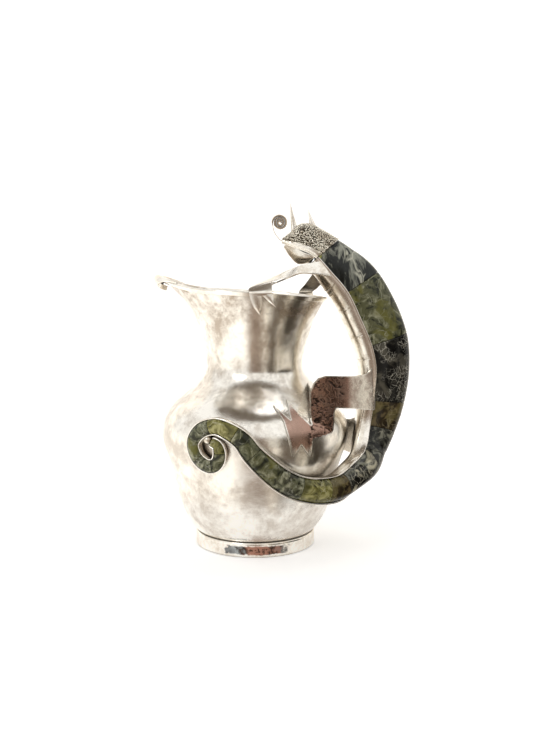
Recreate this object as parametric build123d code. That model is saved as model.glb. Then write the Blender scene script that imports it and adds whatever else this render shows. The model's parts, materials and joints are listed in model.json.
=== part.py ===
from build123d import *
import os
from math import atan2, cos, degrees, exp, pi, radians, sin, sqrt

# Hand-raised silver water pitcher whose handle is a large lizard set with polished stones.
# Millimetres.  +Z is up, the spout points to -X and the handle to +X.
# The origin is on the vessel's axis, in the plane that the foot ring stands on.

# ---------------------------------------------------------------- driving dimensions
foot_radius = 54.2
foot_height = 13.0
foot_wall = 1.8
base_radius = 52.5
belly_radius = 83.8
belly_height = 103.0
neck_radius = 43.3
neck_height = 161.0
mouth_radius = 57.5
rim_height = 228.1
vessel_wall = 1.2
spout_throw = 11.0
spout_half_angle = 34.0
mouth_oval = 5.5
band_height = 4.5
band_wall = 2.2
lip_radius = 6.2
lip_wall = 1.5

handle_gap = 23.6
handle_half_width = 20.0
neck_start_above_rim = 26.4
plate_wall = 1.2
bezel_wall = 0.9
stone_wall = 4.0
stone_bed = 0.3
seam_gap = 0.25
stone_joint = 0.3
backing_wall = 1.0
arch_fullness = 2.3
channel_fullness = 3.4
tail_clearance = 0.3
spiral_radius = 20.0
spiral_azimuth = 116.1
spiral_drop = 1.9

leg_wall = 1.5
leg_clearance = 0.15
head_wall = 1.1
horn_front_height = 22.0
horn_rear_height = 15.5
tongue_width = 4.5
tongue_wall = 0.8
scroll_radius = 7.2

# Places that follow from the sizes above.
handle_reach = belly_radius + handle_gap
neck_start_z = rim_height + neck_start_above_rim
neck_start_x = mouth_radius - 5.0
spiral_z = belly_height - spiral_drop
oval_start = neck_height + 32.0
oval_full = rim_height - 8.7
spout_start = rim_height - 18.0
spout_full = rim_height + 13.0

RIGHT = Vector(0, 1, 0)


def hermite(knots, z):
    """Value and slope at z of a smooth curve through (z, value, slope) knots."""
    if z >= knots[-1][0]:
        last = knots[-1]
        return last[1] + last[2] * (z - last[0]), last[2]
    low = knots[0]
    high = knots[1]
    for index in range(len(knots) - 1):
        if z >= knots[index][0]:
            low = knots[index]
            high = knots[index + 1]
    span = high[0] - low[0]
    t = (z - low[0]) / span
    value = (2 * t**3 - 3 * t**2 + 1) * low[1] + (t**3 - 2 * t**2 + t) * span * low[2]
    value += (3 * t**2 - 2 * t**3) * high[1] + (t**3 - t**2) * span * high[2]
    slope = (6 * t**2 - 6 * t) / span * (low[1] - high[1])
    slope += (3 * t**2 - 4 * t + 1) * low[2] + (3 * t**2 - 2 * t) * high[2]
    return value, slope


def outline_knots():
    """The vessel's side: base, belly, shoulder, neck and mouth."""
    rise = belly_height - foot_height
    swell = belly_radius - base_radius
    drop = neck_height - belly_height
    waist = belly_radius - neck_radius
    throat = rim_height - 4.0 - neck_height
    flare = mouth_radius - neck_radius
    return [
        (foot_height, base_radius, 3.0 * swell / rise),
        (foot_height + 0.222 * rise, base_radius + 0.412 * swell, 1.15 * swell / rise),
        (foot_height + 0.667 * rise, base_radius + 0.751 * swell, 0.85 * swell / rise),
        (belly_height, belly_radius, 0.0),
        (belly_height + 0.517 * drop, neck_radius + 0.585 * waist, -1.82 * waist / drop),
        (neck_height, neck_radius, 0.0),
        (neck_height + 0.508 * throat, neck_radius + 0.43 * flare, 1.46 * flare / throat),
        (neck_height + throat, mouth_radius, 1.1 * flare / throat),
    ]


OUTLINE = outline_knots()


def outline_radius(z):
    return hermite(OUTLINE, max(z, foot_height))[0]


def rim_z(x):
    """Height of the rim at x: it falls towards the handle and lifts at the spout."""
    lift = max(0.0, -x - 38.0) / (belly_radius + 5.2 - 38.0)
    return rim_height - 0.062 * x - 0.0004 * x**2 + 10.6 * lift**2


def mouth_radius_at(z, azimuth, inset):
    """Radius of the wall at a height and a direction, moved in by inset."""
    radius, slope = hermite(OUTLINE, z)
    oval = max(0.0, (z - oval_start) / (oval_full - oval_start))
    oval = mouth_oval * (oval**2 if oval < 1.0 else 2.0 * oval - 1.0)
    throw = spout_throw * (max(0.0, z - spout_start) / (spout_full - spout_start)) ** 2.2
    turn = degrees(atan2(sin(azimuth), -cos(azimuth)))
    throw *= exp(-((turn / spout_half_angle) ** 2))
    widen = sqrt(1.0 + slope**2)
    return radius + oval * cos(azimuth) ** 2 + throw - inset * widen


def ring_face(z, inset):
    count = 28
    points = []
    for index in range(count):
        azimuth = 2 * pi * index / count
        radius = mouth_radius_at(z, azimuth, inset)
        points.append((radius * cos(azimuth), radius * sin(azimuth), z))
    return Face(Wire([Edge.make_spline(points, periodic=True)]))


def vessel_solid(inset, bottom=foot_height):
    """The vessel's filled form, up past the rim, with its side moved in by inset."""
    top = rim_height + 20.0
    count = 27
    heights = [bottom + (top - bottom) * (index / count) for index in range(count + 1)]
    return loft([ring_face(z, inset) for z in heights])


def rim_prism(drop):
    """Everything under the rim's line lowered by drop."""
    spine = []
    steps = 20
    reach = handle_reach + 40.0
    for index in range(steps + 1):
        x = -reach + 2 * reach * index / steps
        spine.append((x, rim_z(x) - drop))
    edge = Spline(*[Vector(x, 0, z) for x, z in spine])
    down = Polyline(
        (reach, 0, spine[-1][1]), (reach, 0, -20), (-reach, 0, -20), (-reach, 0, spine[0][1])
    )
    face = Face(Wire([edge, *down.edges()]))
    prism = extrude(face, amount=reach, dir=(0, 1, 0))
    return prism + extrude(face, amount=reach, dir=(0, -1, 0))


# ---------------------------------------------------------------- the lizard's body
def catmull(rows, u):
    """Smooth blend of rows of numbers, one row at each whole u."""
    last = len(rows) - 1
    index = min(max(int(u), 0), last - 1)
    t = u - index
    p0 = rows[max(index - 1, 0)]
    p1 = rows[index]
    p2 = rows[index + 1]
    p3 = rows[min(index + 2, last)]
    result = []
    for a, b, c, d in zip(p0, p1, p2, p3):
        value = 2 * b + (c - a) * t + (2 * a - 5 * b + 4 * c - d) * t**2
        value += (3 * b - a - 3 * c + d) * t**3
        result.append(value / 2)
    return result


def body_rows():
    """Seam point, outward direction, half width, stone height, belly depth and rail height."""
    rows = []
    reach = handle_reach - neck_start_x
    fall = neck_start_z - belly_height
    width = handle_half_width
    # share of the reach, sideways turn, share of the fall, lean, width, stone height, belly depth
    handle = [
        (0.0, 0, 0.0, 46, 0.75, 28.0, 7.0),
        (0.192, 0, 0.080, 40.5, 0.8, 32.5, 9.0),
        (0.461, 0, 0.197, 32, 0.86, 37.3, 10.7),
        (0.667, 0, 0.350, 23, 0.93, 39.8, 10.2),
        (0.840, 0, 0.499, 12.7, 0.98, 39.0, 10.5),
        (0.909, 0, 0.624, 0, 1.0, 36.3, 10.0),
        (0.893, 0, 0.754, -3.5, 0.95, 35.0, 9.0),
        (0.862, 0.5, 0.872, -7, 0.87, 32.5, 8.0),
        (0.815, 3.0, 0.985, -13, 0.8, 28.5, 8.0),
        (0.762, 7.5, 1.092, -17, 0.75, 23.5, 8.5),
    ]
    for along, turn, down, lean, wide, high, deep in handle:
        x = neck_start_x + reach * along
        y = -x * sin(radians(turn))
        z = neck_start_z - fall * down
        out = (cos(radians(turn)), -sin(radians(turn)), sin(radians(lean)))
        rows.append([x, y, z, *out, width * wide, high, deep, 4.6])
    # azimuth, height above the spiral's centre, gap to the vessel, half width, heights
    sweep = [
        (15.0, -25.5, 4.2, 13.4, 18.3, 9.2, 4.6),
        (26.0, -34.7, 1.8, 12.8, 13.2, 9.4, 4.6),
        (37.0, -40.3, 0.4, 12.0, 9.6, 9.2, 4.4),
        (51.5, -39.2, 0.0, 11.3, 7.8, 7.6, 4.2),
        (63.5, -34.7, 0.0, 10.8, 7.0, 6.2, 4.0),
        (73.0, -27.7, 0.0, 10.6, 6.6, 5.6, 3.8),
        (82.3, -16.3, 0.0, 10.0, 6.2, 5.0, 3.6),
        (90.2, -3.9, 0.0, 9.2, 6.0, 4.6, 3.4),
        (96.0, 7.9, 0.0, 8.5, 5.7, 4.4, 3.2),
        (103.8, 15.6, 0.0, 7.8, 5.5, 4.3, 3.1),
    ]
    for azimuth, above, gap, wide, high, deep, rail in sweep:
        rows.append(tail_row(radians(azimuth), spiral_z + above, gap, wide, high, deep, rail))
    # distance along the side from the spiral's centre, height above it, half width, heights
    spiral = [
        (7.6, 18.4, 7.2, 5.4, 4.2, 3.0),
        (-4.5, 14.4, 7.0, 5.3, 4.1, 2.9),
        (-12.0, 4.0, 6.7, 5.2, 4.0, 2.9),
        (-9.0, -7.5, 6.5, 5.1, 3.9, 2.8),
        (-1.0, -14.6, 6.3, 5.0, 3.8, 2.7),
        (6.5, -14.4, 6.2, 4.9, 3.7, 2.7),
        (11.2, -9.2, 6.1, 4.8, 3.6, 2.6),
        (12.0, -2.4, 5.8, 4.6, 3.5, 2.5),
        (9.6, 3.0, 5.2, 4.2, 3.4, 2.3),
        (4.6, 5.2, 4.4, 3.8, 3.2, 2.0),
    ]
    size = spiral_radius / 20.0
    arm = belly_radius + 4.2
    for right, above, wide, high, deep, rail in spiral:
        azimuth = radians(spiral_azimuth) - right * size / arm
        z = spiral_z + above * size
        rows.append(tail_row(azimuth, z, 0.0, wide * size, high, deep, rail))
    return rows


def tail_row(azimuth, z, gap, wide, high, deep, rail):
    """A station of the tail that lies on the vessel's side, turned round from the handle."""
    reach = max(outline_radius(z + side * wide * 0.9) for side in (-1, 0, 1))
    radius = reach + tail_clearance + gap + deep
    x = radius * cos(azimuth)
    y = -radius * sin(azimuth)
    return [x, y, z, cos(azimuth), -sin(azimuth), 0, wide, high, deep, rail]


ROWS = body_rows()
LAST = len(ROWS) - 1


class Station:
    """A place along the body with its own axes and sizes."""

    def __init__(self, u):
        row = catmull(ROWS, u)
        ahead = catmull(ROWS, min(u + 0.02, LAST))
        behind = catmull(ROWS, max(u - 0.02, 0))
        self.centre = Vector(*row[0:3])
        self.along = (Vector(*ahead[0:3]) - Vector(*behind[0:3])).normalized()
        out = Vector(*row[3:6])
        self.out = (out - self.along * out.dot(self.along)).normalized()
        self.side = self.out.cross(self.along).normalized()
        self.half, self.high, self.deep, self.rail = row[6:10]

    def at(self, across, up):
        return self.centre + self.side * across + self.out * up


def arch_points(station, half, height, base, fullness):
    """Points of a rounded arch; a negative height hangs down."""
    points = []
    count = 8
    for index in range(count + 1):
        angle = pi * index / count
        across = half * abs(cos(angle)) ** (2 / fullness) * (1 if cos(angle) >= 0 else -1)
        up = base + height * abs(sin(angle)) ** (2 / fullness)
        points.append(station.at(across, up))
    return points


def arch_face(station, half, height, base, wall, fullness=arch_fullness):
    """Section of a bent sheet: an outer arch, an inner arch and two short feet."""
    inner = height - wall if height > 0 else height + wall
    outside = arch_points(station, half, height, base, fullness)
    inside = arch_points(station, half - wall, inner, base, fullness)
    edges = [
        Edge.make_spline(outside),
        Edge.make_line(outside[-1], inside[-1]),
        Edge.make_spline(list(reversed(inside))),
        Edge.make_line(inside[0], outside[0]),
    ]
    return Face(Wire(edges))


def strip_face(station, side, low, high, outer, wall):
    corners = [
        station.at(side * outer, low),
        station.at(side * (outer - wall), low),
        station.at(side * (outer - wall), high),
        station.at(side * outer, high),
    ]
    return Face(Wire.make_polygon(corners, close=True))


def run(section, start, stop):
    """Loft a section along the body, through the same half-way stations for every layer."""
    places = [start]
    place = 0.5 * int(start / 0.5 + 1.2)
    while place < stop - 0.1:
        places.append(place)
        place += 0.5
    places.append(stop)
    return loft([section(Station(u)) for u in places])


def belly_section(station):
    return arch_face(station, station.half, -station.deep, 0, plate_wall, arch_fullness)


def channel_section(station):
    return arch_face(station, station.half, -station.deep, 0, plate_wall, channel_fullness)


def stone_section(station):
    half = station.half - bezel_wall - stone_bed
    wall = min(stone_wall, 0.5 * station.high)
    return arch_face(station, half, station.high, seam_gap, wall)


def backing_section(station):
    wall = min(stone_wall, 0.5 * station.high)
    half = station.half - bezel_wall - wall - 2 * stone_bed - 0.3
    height = station.high - wall - stone_bed - 0.3
    return arch_face(station, half, height, seam_gap, min(backing_wall, 0.4 * height))


def envelope(start, stop):
    """The body's whole outer form between two places, for cutting legs clear of it."""
    return run(envelope_section, start, stop)


def envelope_section(station):
    half = station.half + leg_clearance
    above = arch_points(station, half, station.high + leg_clearance, 0, arch_fullness)
    below = arch_points(station, half, -station.deep - leg_clearance, 0, channel_fullness)
    edges = [Edge.make_spline(above), Edge.make_spline(list(reversed(below)))]
    return Face(Wire(edges))


def bezel_section(side):
    return lambda station: strip_face(station, side, seam_gap, station.rail, station.half, bezel_wall)


def offset_place(u, distance):
    """The place a short distance on along the body from u."""
    here = Station(u).centre
    near = Station(min(u + 0.01, LAST)).centre
    pace = (near - here).length / 0.01
    return u + distance / pace


# ---------------------------------------------------------------- head
def head_face(top, bottom, half, shrink=0.0):
    """Oval section between a top and a bottom point in the plane of symmetry."""
    top = Vector(top[0], 0, top[1])
    bottom = Vector(bottom[0], 0, bottom[1])
    centre = (top + bottom) * 0.5
    up = (top - bottom).normalized()
    reach = (top - bottom).length / 2 - shrink
    plane = Plane(origin=centre, x_dir=RIGHT, z_dir=RIGHT.cross(up))
    return plane * Ellipse(max(half - shrink, 0.4), max(reach, 0.4)).face()


def head_rows():
    """Top, bottom and half width of each section, from the neck to the snout."""
    x = neck_start_x
    z = neck_start_z
    neck = Station(0)
    top = neck.at(0, neck.high)
    bottom = neck.at(0, 0.5)
    return [
        ((top.X - 0.3, top.Z + 0.3), (bottom.X - 0.2, bottom.Z + 0.2), 14.2),
        ((x + 6.5, z + 27.0), (x - 0.3, z + 3.0), 14.0),
        ((x - 3.0, z + 31.5), (x - 6.0, z + 6.5), 12.8),
        ((x - 13.0, z + 30.8), (x - 15.0, z + 10.8), 10.0),
        ((x - 21.0, z + 24.5), (x - 22.5, z + 14.2), 7.0),
        ((x - 28.0, z + 19.3), (x - 28.6, z + 17.2), 3.5),
    ]


def head_solid(shrink):
    return loft([head_face(top, bottom, half, shrink) for top, bottom, half in head_rows()])


def jaw_solid(shrink):
    x = neck_start_x
    z = neck_start_z
    rows = [
        ((x - 1.8, z + 2.0), (x - 4.2, z - 1.8), 11.0),
        ((x - 8.5, z + 5.6), (x - 13.8, z - 3.0), 9.6),
        ((x - 17.0, z + 9.9), (x - 21.4, z + 3.4), 7.0),
        ((x - 24.5, z + 13.6), (x - 26.6, z + 11.4), 4.0),
    ]
    return loft([head_face(top, bottom, half, shrink) for top, bottom, half in rows])


def horn(base_x, base_z, tip_x, height, half):
    low = Plane(origin=(base_x, 0, base_z - 4.0)) * Ellipse(half, half * 0.75).face()
    high = Plane(origin=(tip_x, 0, base_z + height)) * Ellipse(0.4, 0.35).face()
    return loft([low, high])


def tongue():
    """Strip from the mouth that ends in a scroll."""
    centre = Vector(neck_start_x - 30.5, 0, neck_start_z + 33.5)
    path = [Vector(neck_start_x - 27.4, 0, neck_start_z + 16.2)]
    path.append(centre + Vector(-4.4, 0, -12.2))
    turns = 2.25
    steps = 40
    for index in range(steps + 1):
        t = index / steps
        angle = radians(190) - 2 * pi * turns * t
        radius = (scroll_radius - tongue_wall / 2) * (1 - 0.78 * t)
        path.append(centre + Vector(radius * cos(angle), 0, radius * sin(angle)))
    left = []
    right = []
    for index, point in enumerate(path):
        ahead = path[min(index + 1, len(path) - 1)]
        behind = path[max(index - 1, 0)]
        along = (ahead - behind).normalized()
        across = Vector(-along.Z, 0, along.X) * (tongue_wall / 2)
        left.append(point + across)
        right.append(point - across)
    outline = Wire.make_polygon(left + list(reversed(right)), close=True)
    sheet = extrude(Face(outline), amount=tongue_width / 2, dir=(0, 1, 0))
    return sheet + extrude(Face(outline), amount=tongue_width / 2, dir=(0, -1, 0))


# ---------------------------------------------------------------- legs
def ribbon(rows, wall):
    """A bent flat strip from pairs of edge points, thickened to one side."""
    faces = []
    for index, (left, right) in enumerate(rows):
        left = Vector(*left)
        right = Vector(*right)
        ahead = rows[min(index + 1, len(rows) - 1)]
        behind = rows[max(index - 1, 0)]
        middle_ahead = (Vector(*ahead[0]) + Vector(*ahead[1])) * 0.5
        middle_behind = (Vector(*behind[0]) + Vector(*behind[1])) * 0.5
        along = (middle_ahead - middle_behind).normalized()
        normal = along.cross(right - left).normalized() * (wall / 2)
        corners = [left - normal, right - normal, right + normal, left + normal]
        faces.append(Face(Wire.make_polygon(corners, close=True)))
    return loft(faces, ruled=True)


def shape_prism(points, y_from, y_to):
    """A flat outline seen from the front, given depth."""
    outline = Wire.make_polygon([Vector(x, y_from, z) for x, z in points], close=True)
    depth = y_to - y_from
    return extrude(Face(outline), amount=abs(depth), dir=(0, 1 if depth > 0 else -1, 0))


def front_leg_near(outside):
    x = mouth_radius
    z = rim_height
    edge = -(mouth_radius + band_wall + 0.9)
    rows = [
        ((x - 0.5, -16.6, z + 25.6), (x + 8.5, -17.2, z + 12.5)),
        ((x - 11.5, -24, z + 23.4), (x - 7.5, -26, z + 14.6)),
        ((x - 23.5, -35, z + 19.8), (x - 18.5, -38, z + 15.0)),
        ((x - 39.5, -46, z + 12.8), (x - 29.5, -50, z + 11.2)),
        ((x - 53.5, -53.5, z + 6.8), (x - 37.5, -56, z + 8.2)),
        ((x - 61.5, edge + 2.4, z + 2.6), (x - 42.5, edge + 2.6, z + 5.6)),
        ((x - 61.2, edge - 0.8, z - 1.8), (x - 42.3, edge - 0.8, z - 1.2)),
    ]
    strip = ribbon(rows, leg_wall)
    claws = [
        [(-61.6, 0.6), (-51.8, 0.6), (-50.6, -10.0), (-53.1, -18.5), (-58.5, -11.0)],
        [(-52.4, 0.6), (-42.3, 0.6), (-39.4, -12.7), (-46.0, -6.5)],
    ]
    for claw in claws:
        strip += shape_prism([(x + along, z + up) for along, up in claw], edge - 2.0, edge - 0.3)
    return strip - outside


def front_leg_far(outside):
    x = mouth_radius
    z = rim_height
    rows = [
        ((x - 0.5, 16.6, z + 22.0), (x + 8.5, 17.2, z + 11.5)),
        ((x - 4.5, 25.0, z + 15.5), (x + 4.0, 26.5, z + 6.5)),
        ((x - 11.0, 35.5, z + 6.0), (x - 0.5, 33.0, z + 1.5)),
        ((x - 16.0, 45.2, z - 0.6), (x - 4.0, 37.5, z - 1.6)),
        ((x - 16.5, 48.6, z - 6.5), (x - 4.0, 40.5, z - 7.0)),
        ((x - 15.0, 47.6, z - 14.5), (x - 9.0, 44.0, z - 14.5)),
    ]
    return ribbon(rows, leg_wall) - outside


def rear_leg(side, drop, shift, filled, grown):
    """Thigh and shin cut from one bent sheet, and a clawed foot laid on the shoulder."""
    reach = handle_reach - 3.4 + shift
    curtain = [
        (reach, 17.4),
        (reach - 13.0, 30.0),
        (reach - 26.5, 43.5),
        (reach - 38.0, 53.0),
        (reach - 48.0, 59.0),
        (reach - 60.0, 64.5),
    ]
    top = neck_height - drop
    front = Spline(*[Vector(x, side * y, -5) for x, y in curtain])
    back = Spline(*[Vector(x - 0.9, side * (y - leg_wall), -5) for x, y in curtain])
    ends = [
        Edge.make_line(front @ 1, back @ 1),
        Edge.make_line(back @ 0, front @ 0),
    ]
    sheet = extrude(Face(Wire([front, ends[0], back, ends[1]])), amount=rim_height, dir=(0, 0, 1))
    thigh = [
        (reach + 1.0, top - 3.0),
        (reach - 20.0, top - 4.8),
        (reach - 45.0, top - 3.2),
        (reach - 53.0, top - 6.2),
        (reach - 57.5, top - 13.0),
        (reach - 58.7, top - 21.0),
        (reach - 56.5, top - 44.5),
        (reach - 57.0, top - 52.0),
        (reach - 38.0, top - 52.5),
        (reach - 36.6, top - 31.2),
        (reach + 1.0, top - 39.0),
    ]
    leg = sheet & shape_prism(thigh, 0, side * 120)
    foot = [
        (reach - 56.5, top - 43.0),
        (reach - 36.5, top - 47.5),
        (reach - 38.5, top - 53.0),
        (reach - 55.5, top - 52.5),
        (reach - 57.5, top - 69.5),
        (reach - 65.0, top - 58.0),
        (reach - 72.0, top - 68.5),
        (reach - 74.5, top - 55.0),
        (reach - 79.5, top - 38.5),
        (reach - 88.5, top - 26.0),
        (reach - 73.0, top - 37.0),
        (reach - 77.0, top - 22.6),
    ]
    pad = (grown - filled) & shape_prism(foot, side * 20, side * 120)
    return (leg - filled) + pad


# ---------------------------------------------------------------- making the pieces
def build():
    pieces = {}
    filled = vessel_solid(0)
    hollow = vessel_solid(vessel_wall, foot_height + vessel_wall)
    under_shell = rim_prism(0.6)
    pieces["vessel_shell"] = (filled - hollow) & under_shell

    with_band = vessel_solid(-band_wall)
    band = (with_band - filled) & (rim_prism(0) - rim_prism(band_height))
    pieces["rim_band"] = band

    ring = Pos(0, 0, foot_height / 2) * Cylinder(foot_radius, foot_height)
    ring = fillet(ring.edges().group_by(Axis.Z)[0], 1.2)
    ring -= Pos(0, 0, foot_height / 2) * Cylinder(foot_radius - foot_wall, foot_height + 2)
    pieces["foot_ring"] = ring

    pieces["spout_lip"] = spout_lip(with_band)

    plates = [0.0, 1.5, 2.5, 3.5, 4.5, 5.5]
    for number in range(len(plates) - 1):
        start = offset_place(plates[number], stone_bed)
        name = f"belly_plate_{number + 1}"
        pieces[name] = run(belly_section, start, plates[number + 1])
    pieces["tail_channel"] = run(channel_section, offset_place(plates[-1], stone_bed), LAST)
    for name, side in (("bezel_near", -1), ("bezel_far", 1)):
        pieces[name] = run(bezel_section(side), 0, LAST)
    pieces["back_shell"] = run(backing_section, 0, LAST)

    joints = [0, 2, 4, 6.5, 8, 9.5, 11.5, 12.5, 14, 15.5, 17, 18.5, 20.4, 21.8, 23.2, 24.8, 26.8, LAST]
    for number in range(len(joints) - 1):
        start = offset_place(joints[number], stone_joint)
        pieces[f"stone_{number + 1:02d}"] = run(stone_section, start, joints[number + 1])

    tip = Station(LAST)
    bead = Sphere(tip.half * 0.85)
    pieces["tail_tip"] = Pos(*(tip.centre + tip.along * (tip.half * 0.85 + 0.1) + tip.out * 0.6)) * bead

    filled_head = head_solid(0)
    pieces["head_shell"] = filled_head - head_solid(head_wall)
    pieces["jaw"] = jaw_solid(0) - jaw_solid(head_wall)
    x = neck_start_x
    z = neck_start_z
    horns = {
        "horn_front": horn(x - 17.0, z + 28.5, x - 21.1, horn_front_height, 3.2),
        "horn_rear": horn(x + 0.5, z + 29.5, x - 5.5, horn_rear_height, 2.8),
    }
    for name, solid in horns.items():
        pieces[name] = solid - filled_head
    for name, side in (("eye_near", -1), ("eye_far", 1)):
        pieces[name] = Pos(x - 10.5, side * 9.6, z + 23.0) * Sphere(3.6) - filled_head
    pieces["tongue"] = tongue() - filled_head

    outside = with_band & rim_prism(0)
    shoulder = envelope(0, 2)
    pieces["front_leg_near"] = front_leg_near(outside) - shoulder
    pieces["front_leg_far"] = front_leg_far(outside) - shoulder
    grown = vessel_solid(-leg_wall)
    hip = envelope(4, 10)
    pieces["rear_leg_near"] = rear_leg(-1, 0.0, 0.0, filled, grown) - hip
    pieces["rear_leg_far"] = rear_leg(1, 48.0, -8.0, filled, grown) - hip
    return pieces


def spout_lip(with_band):
    """The pouring lip, rolled over and under at the spout's tip."""
    tip = -mouth_radius_at(rim_height + 11.4, pi, 0)
    centre = Vector(tip + 2.6, 0, rim_height + 6.9)
    steps = 12
    outside = []
    inside = []
    for index in range(steps + 1):
        angle = radians(135 + 155 * index / steps)
        spoke = Vector(cos(angle), 0, sin(angle))
        outside.append(centre + spoke * lip_radius)
        inside.append(centre + spoke * (lip_radius - lip_wall))
    edges = [
        Edge.make_spline(outside),
        Edge.make_line(outside[-1], inside[-1]),
        Edge.make_spline(list(reversed(inside))),
        Edge.make_line(inside[0], outside[0]),
    ]
    profile = Face(Wire(edges))
    pivot = Axis((centre.X + 34.0, 0, 0), (0, 0, 1))
    half = 26.0
    roll = revolve(profile, pivot, half) + revolve(profile, pivot, -half)
    return roll - with_band


os.makedirs("parts", exist_ok=True)
for name, piece in build().items():
    export_step(piece, f"parts/{name}.step")
    print(name, round(piece.volume, 1))
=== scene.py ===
import json
import math
import random

import bmesh
import bpy
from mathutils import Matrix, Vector, noise


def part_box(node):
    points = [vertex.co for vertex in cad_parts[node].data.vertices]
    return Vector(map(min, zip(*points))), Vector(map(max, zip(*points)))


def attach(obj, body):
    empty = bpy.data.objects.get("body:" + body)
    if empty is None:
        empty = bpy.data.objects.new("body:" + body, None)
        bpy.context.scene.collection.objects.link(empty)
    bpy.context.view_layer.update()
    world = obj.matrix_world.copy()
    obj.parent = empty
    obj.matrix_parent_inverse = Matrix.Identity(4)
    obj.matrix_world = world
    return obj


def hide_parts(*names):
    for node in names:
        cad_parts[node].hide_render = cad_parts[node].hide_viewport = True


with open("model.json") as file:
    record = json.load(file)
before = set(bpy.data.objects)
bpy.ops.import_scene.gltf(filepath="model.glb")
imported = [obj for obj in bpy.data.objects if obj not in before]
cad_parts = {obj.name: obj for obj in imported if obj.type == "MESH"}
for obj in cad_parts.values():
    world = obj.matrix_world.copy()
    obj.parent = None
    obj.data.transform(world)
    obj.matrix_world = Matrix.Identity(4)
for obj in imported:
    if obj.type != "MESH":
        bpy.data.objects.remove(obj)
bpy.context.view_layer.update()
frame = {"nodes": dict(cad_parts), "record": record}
print("frame loaded:", len(frame["nodes"]), "nodes")

mm = 0.001


# Shapes are worked out in millimetres and made in metres

def nodeBox(node):
    low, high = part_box(node)
    return Vector(low) / mm, Vector(high) / mm


def smoothStep(low, high, value):
    t = min(max((value - low) / (high - low), 0.0), 1.0)
    return t * t * (3 - 2 * t)


# A smooth blend of rows of numbers, one row at each whole u
def through(rows, u):
    last = len(rows) - 1
    index = min(max(int(u), 0), last - 1)
    t = u - index
    p0, p1 = rows[max(index - 1, 0)], rows[index]
    p2, p3 = rows[index + 1], rows[min(index + 2, last)]
    result = []
    for a, b, c, d in zip(p0, p1, p2, p3):
        value = 2 * b + (c - a) * t + (2 * a - 5 * b + 4 * c - d) * t ** 2
        result.append((value + (3 * b - a - 3 * c + d) * t ** 3) / 2)
    return result


def meshPiece(name, points, faces, sharpAngle=38):
    mesh = bpy.data.meshes.new(name)
    mesh.from_pydata([Vector(p) * mm for p in points], [], faces)
    mesh.validate()
    work = bmesh.new()
    work.from_mesh(mesh)
    bmesh.ops.remove_doubles(work, verts=work.verts, dist=1e-7)
    bmesh.ops.recalc_face_normals(work, faces=work.faces)
    work.to_mesh(mesh)
    work.free()
    mesh.polygons.foreach_set("use_smooth", [True] * len(mesh.polygons))
    mesh.set_sharp_from_angle(angle=math.radians(sharpAngle))
    piece = bpy.data.objects.new(name, mesh)
    bpy.context.scene.collection.objects.link(piece)
    return piece


def gridFaces(rowCount, rowLength, around=False, start=0):
    faces = []
    for row in range(rowCount - 1):
        for k in range(rowLength if around else rowLength - 1):
            a = start + row * rowLength + k
            b = start + row * rowLength + (k + 1) % rowLength
            faces.append((a, b, b + rowLength, a + rowLength))
    return faces


# A closed sheet between matching outer and inner rows of points
def wallPiece(name, outer, inner, sharpAngle=38):
    count = len(outer[0])
    rows = [list(a) + list(reversed(b)) for a, b in zip(outer, inner)]
    points = [p for row in rows for p in row]
    width = 2 * count
    faces = gridFaces(len(rows), width, around=True)
    for base in (0, (len(rows) - 1) * width):
        for k in range(count - 1):
            faces.append((base + k, base + k + 1, base + width - 2 - k, base + width - 1 - k))
    return meshPiece(name, points, faces, sharpAngle)


# A closed solid through rings of points, with a flat end at each end
def solidPiece(name, rows, sharpAngle=38):
    width = len(rows[0])
    points = [p for row in rows for p in row]
    faces = gridFaces(len(rows), width, around=True)
    last = (len(rows) - 1) * width
    faces.append(tuple(range(width)))
    faces.append(tuple(range(last, last + width)))
    return meshPiece(name, points, faces, sharpAngle)


# A closed hoop through sections of points, the last joined to the first
def ringPiece(name, rows, sharpAngle=38):
    width, around = len(rows[0]), len(rows)
    points = [p for row in rows for p in row]
    faces = []
    for k in range(around):
        here, there = k * width, (k + 1) % around * width
        for j in range(width):
            after = (j + 1) % width
            faces.append((here + j, here + after, there + after, there + j))
    return meshPiece(name, points, faces, sharpAngle)


def ballPiece(name, centre, radius, around, up):
    work = bmesh.new()
    bmesh.ops.create_uvsphere(work, u_segments=around, v_segments=up, radius=radius)
    work.verts.index_update()
    points = [centre + v.co for v in work.verts]
    faces = [tuple(v.index for v in f.verts) for f in work.faces]
    work.free()
    return meshPiece(name, points, faces, 60)


def roundEdges(piece, width, segments=2, angle=40):
    bevel = piece.modifiers.new("roundedEdges", "BEVEL")
    bevel.width = width * mm
    bevel.segments = segments
    bevel.limit_method = "ANGLE"
    bevel.angle_limit = math.radians(angle)
    bevel.harden_normals = False


def joined(name, pieces):
    work = bmesh.new()
    for piece in pieces:
        work.from_mesh(piece.data)
    mesh = bpy.data.meshes.new(name)
    work.to_mesh(mesh)
    work.free()
    mesh.polygons.foreach_set("use_smooth", [True] * len(mesh.polygons))
    mesh.set_sharp_from_angle(angle=math.radians(38))
    for piece in pieces:
        bpy.data.objects.remove(piece)
    result = bpy.data.objects.new(name, mesh)
    bpy.context.scene.collection.objects.link(result)
    return result


# Gives the piece its finish, and lets it stand for its CAD nodes
def place(piece, material, *nodes):
    piece.data.materials.clear()
    piece.data.materials.append(material)
    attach(piece, "root")
    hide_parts(*nodes)
    return piece


def socketName(key):
    words = "".join(" " + letter if letter.isupper() else letter for letter in key)
    return words[0].upper() + words[1:]


# A value is a number or colour, or an output to link from
def feed(tree, socket, value):
    if isinstance(value, bpy.types.NodeSocket):
        tree.links.new(value, socket)
    else:
        socket.default_value = value


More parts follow.
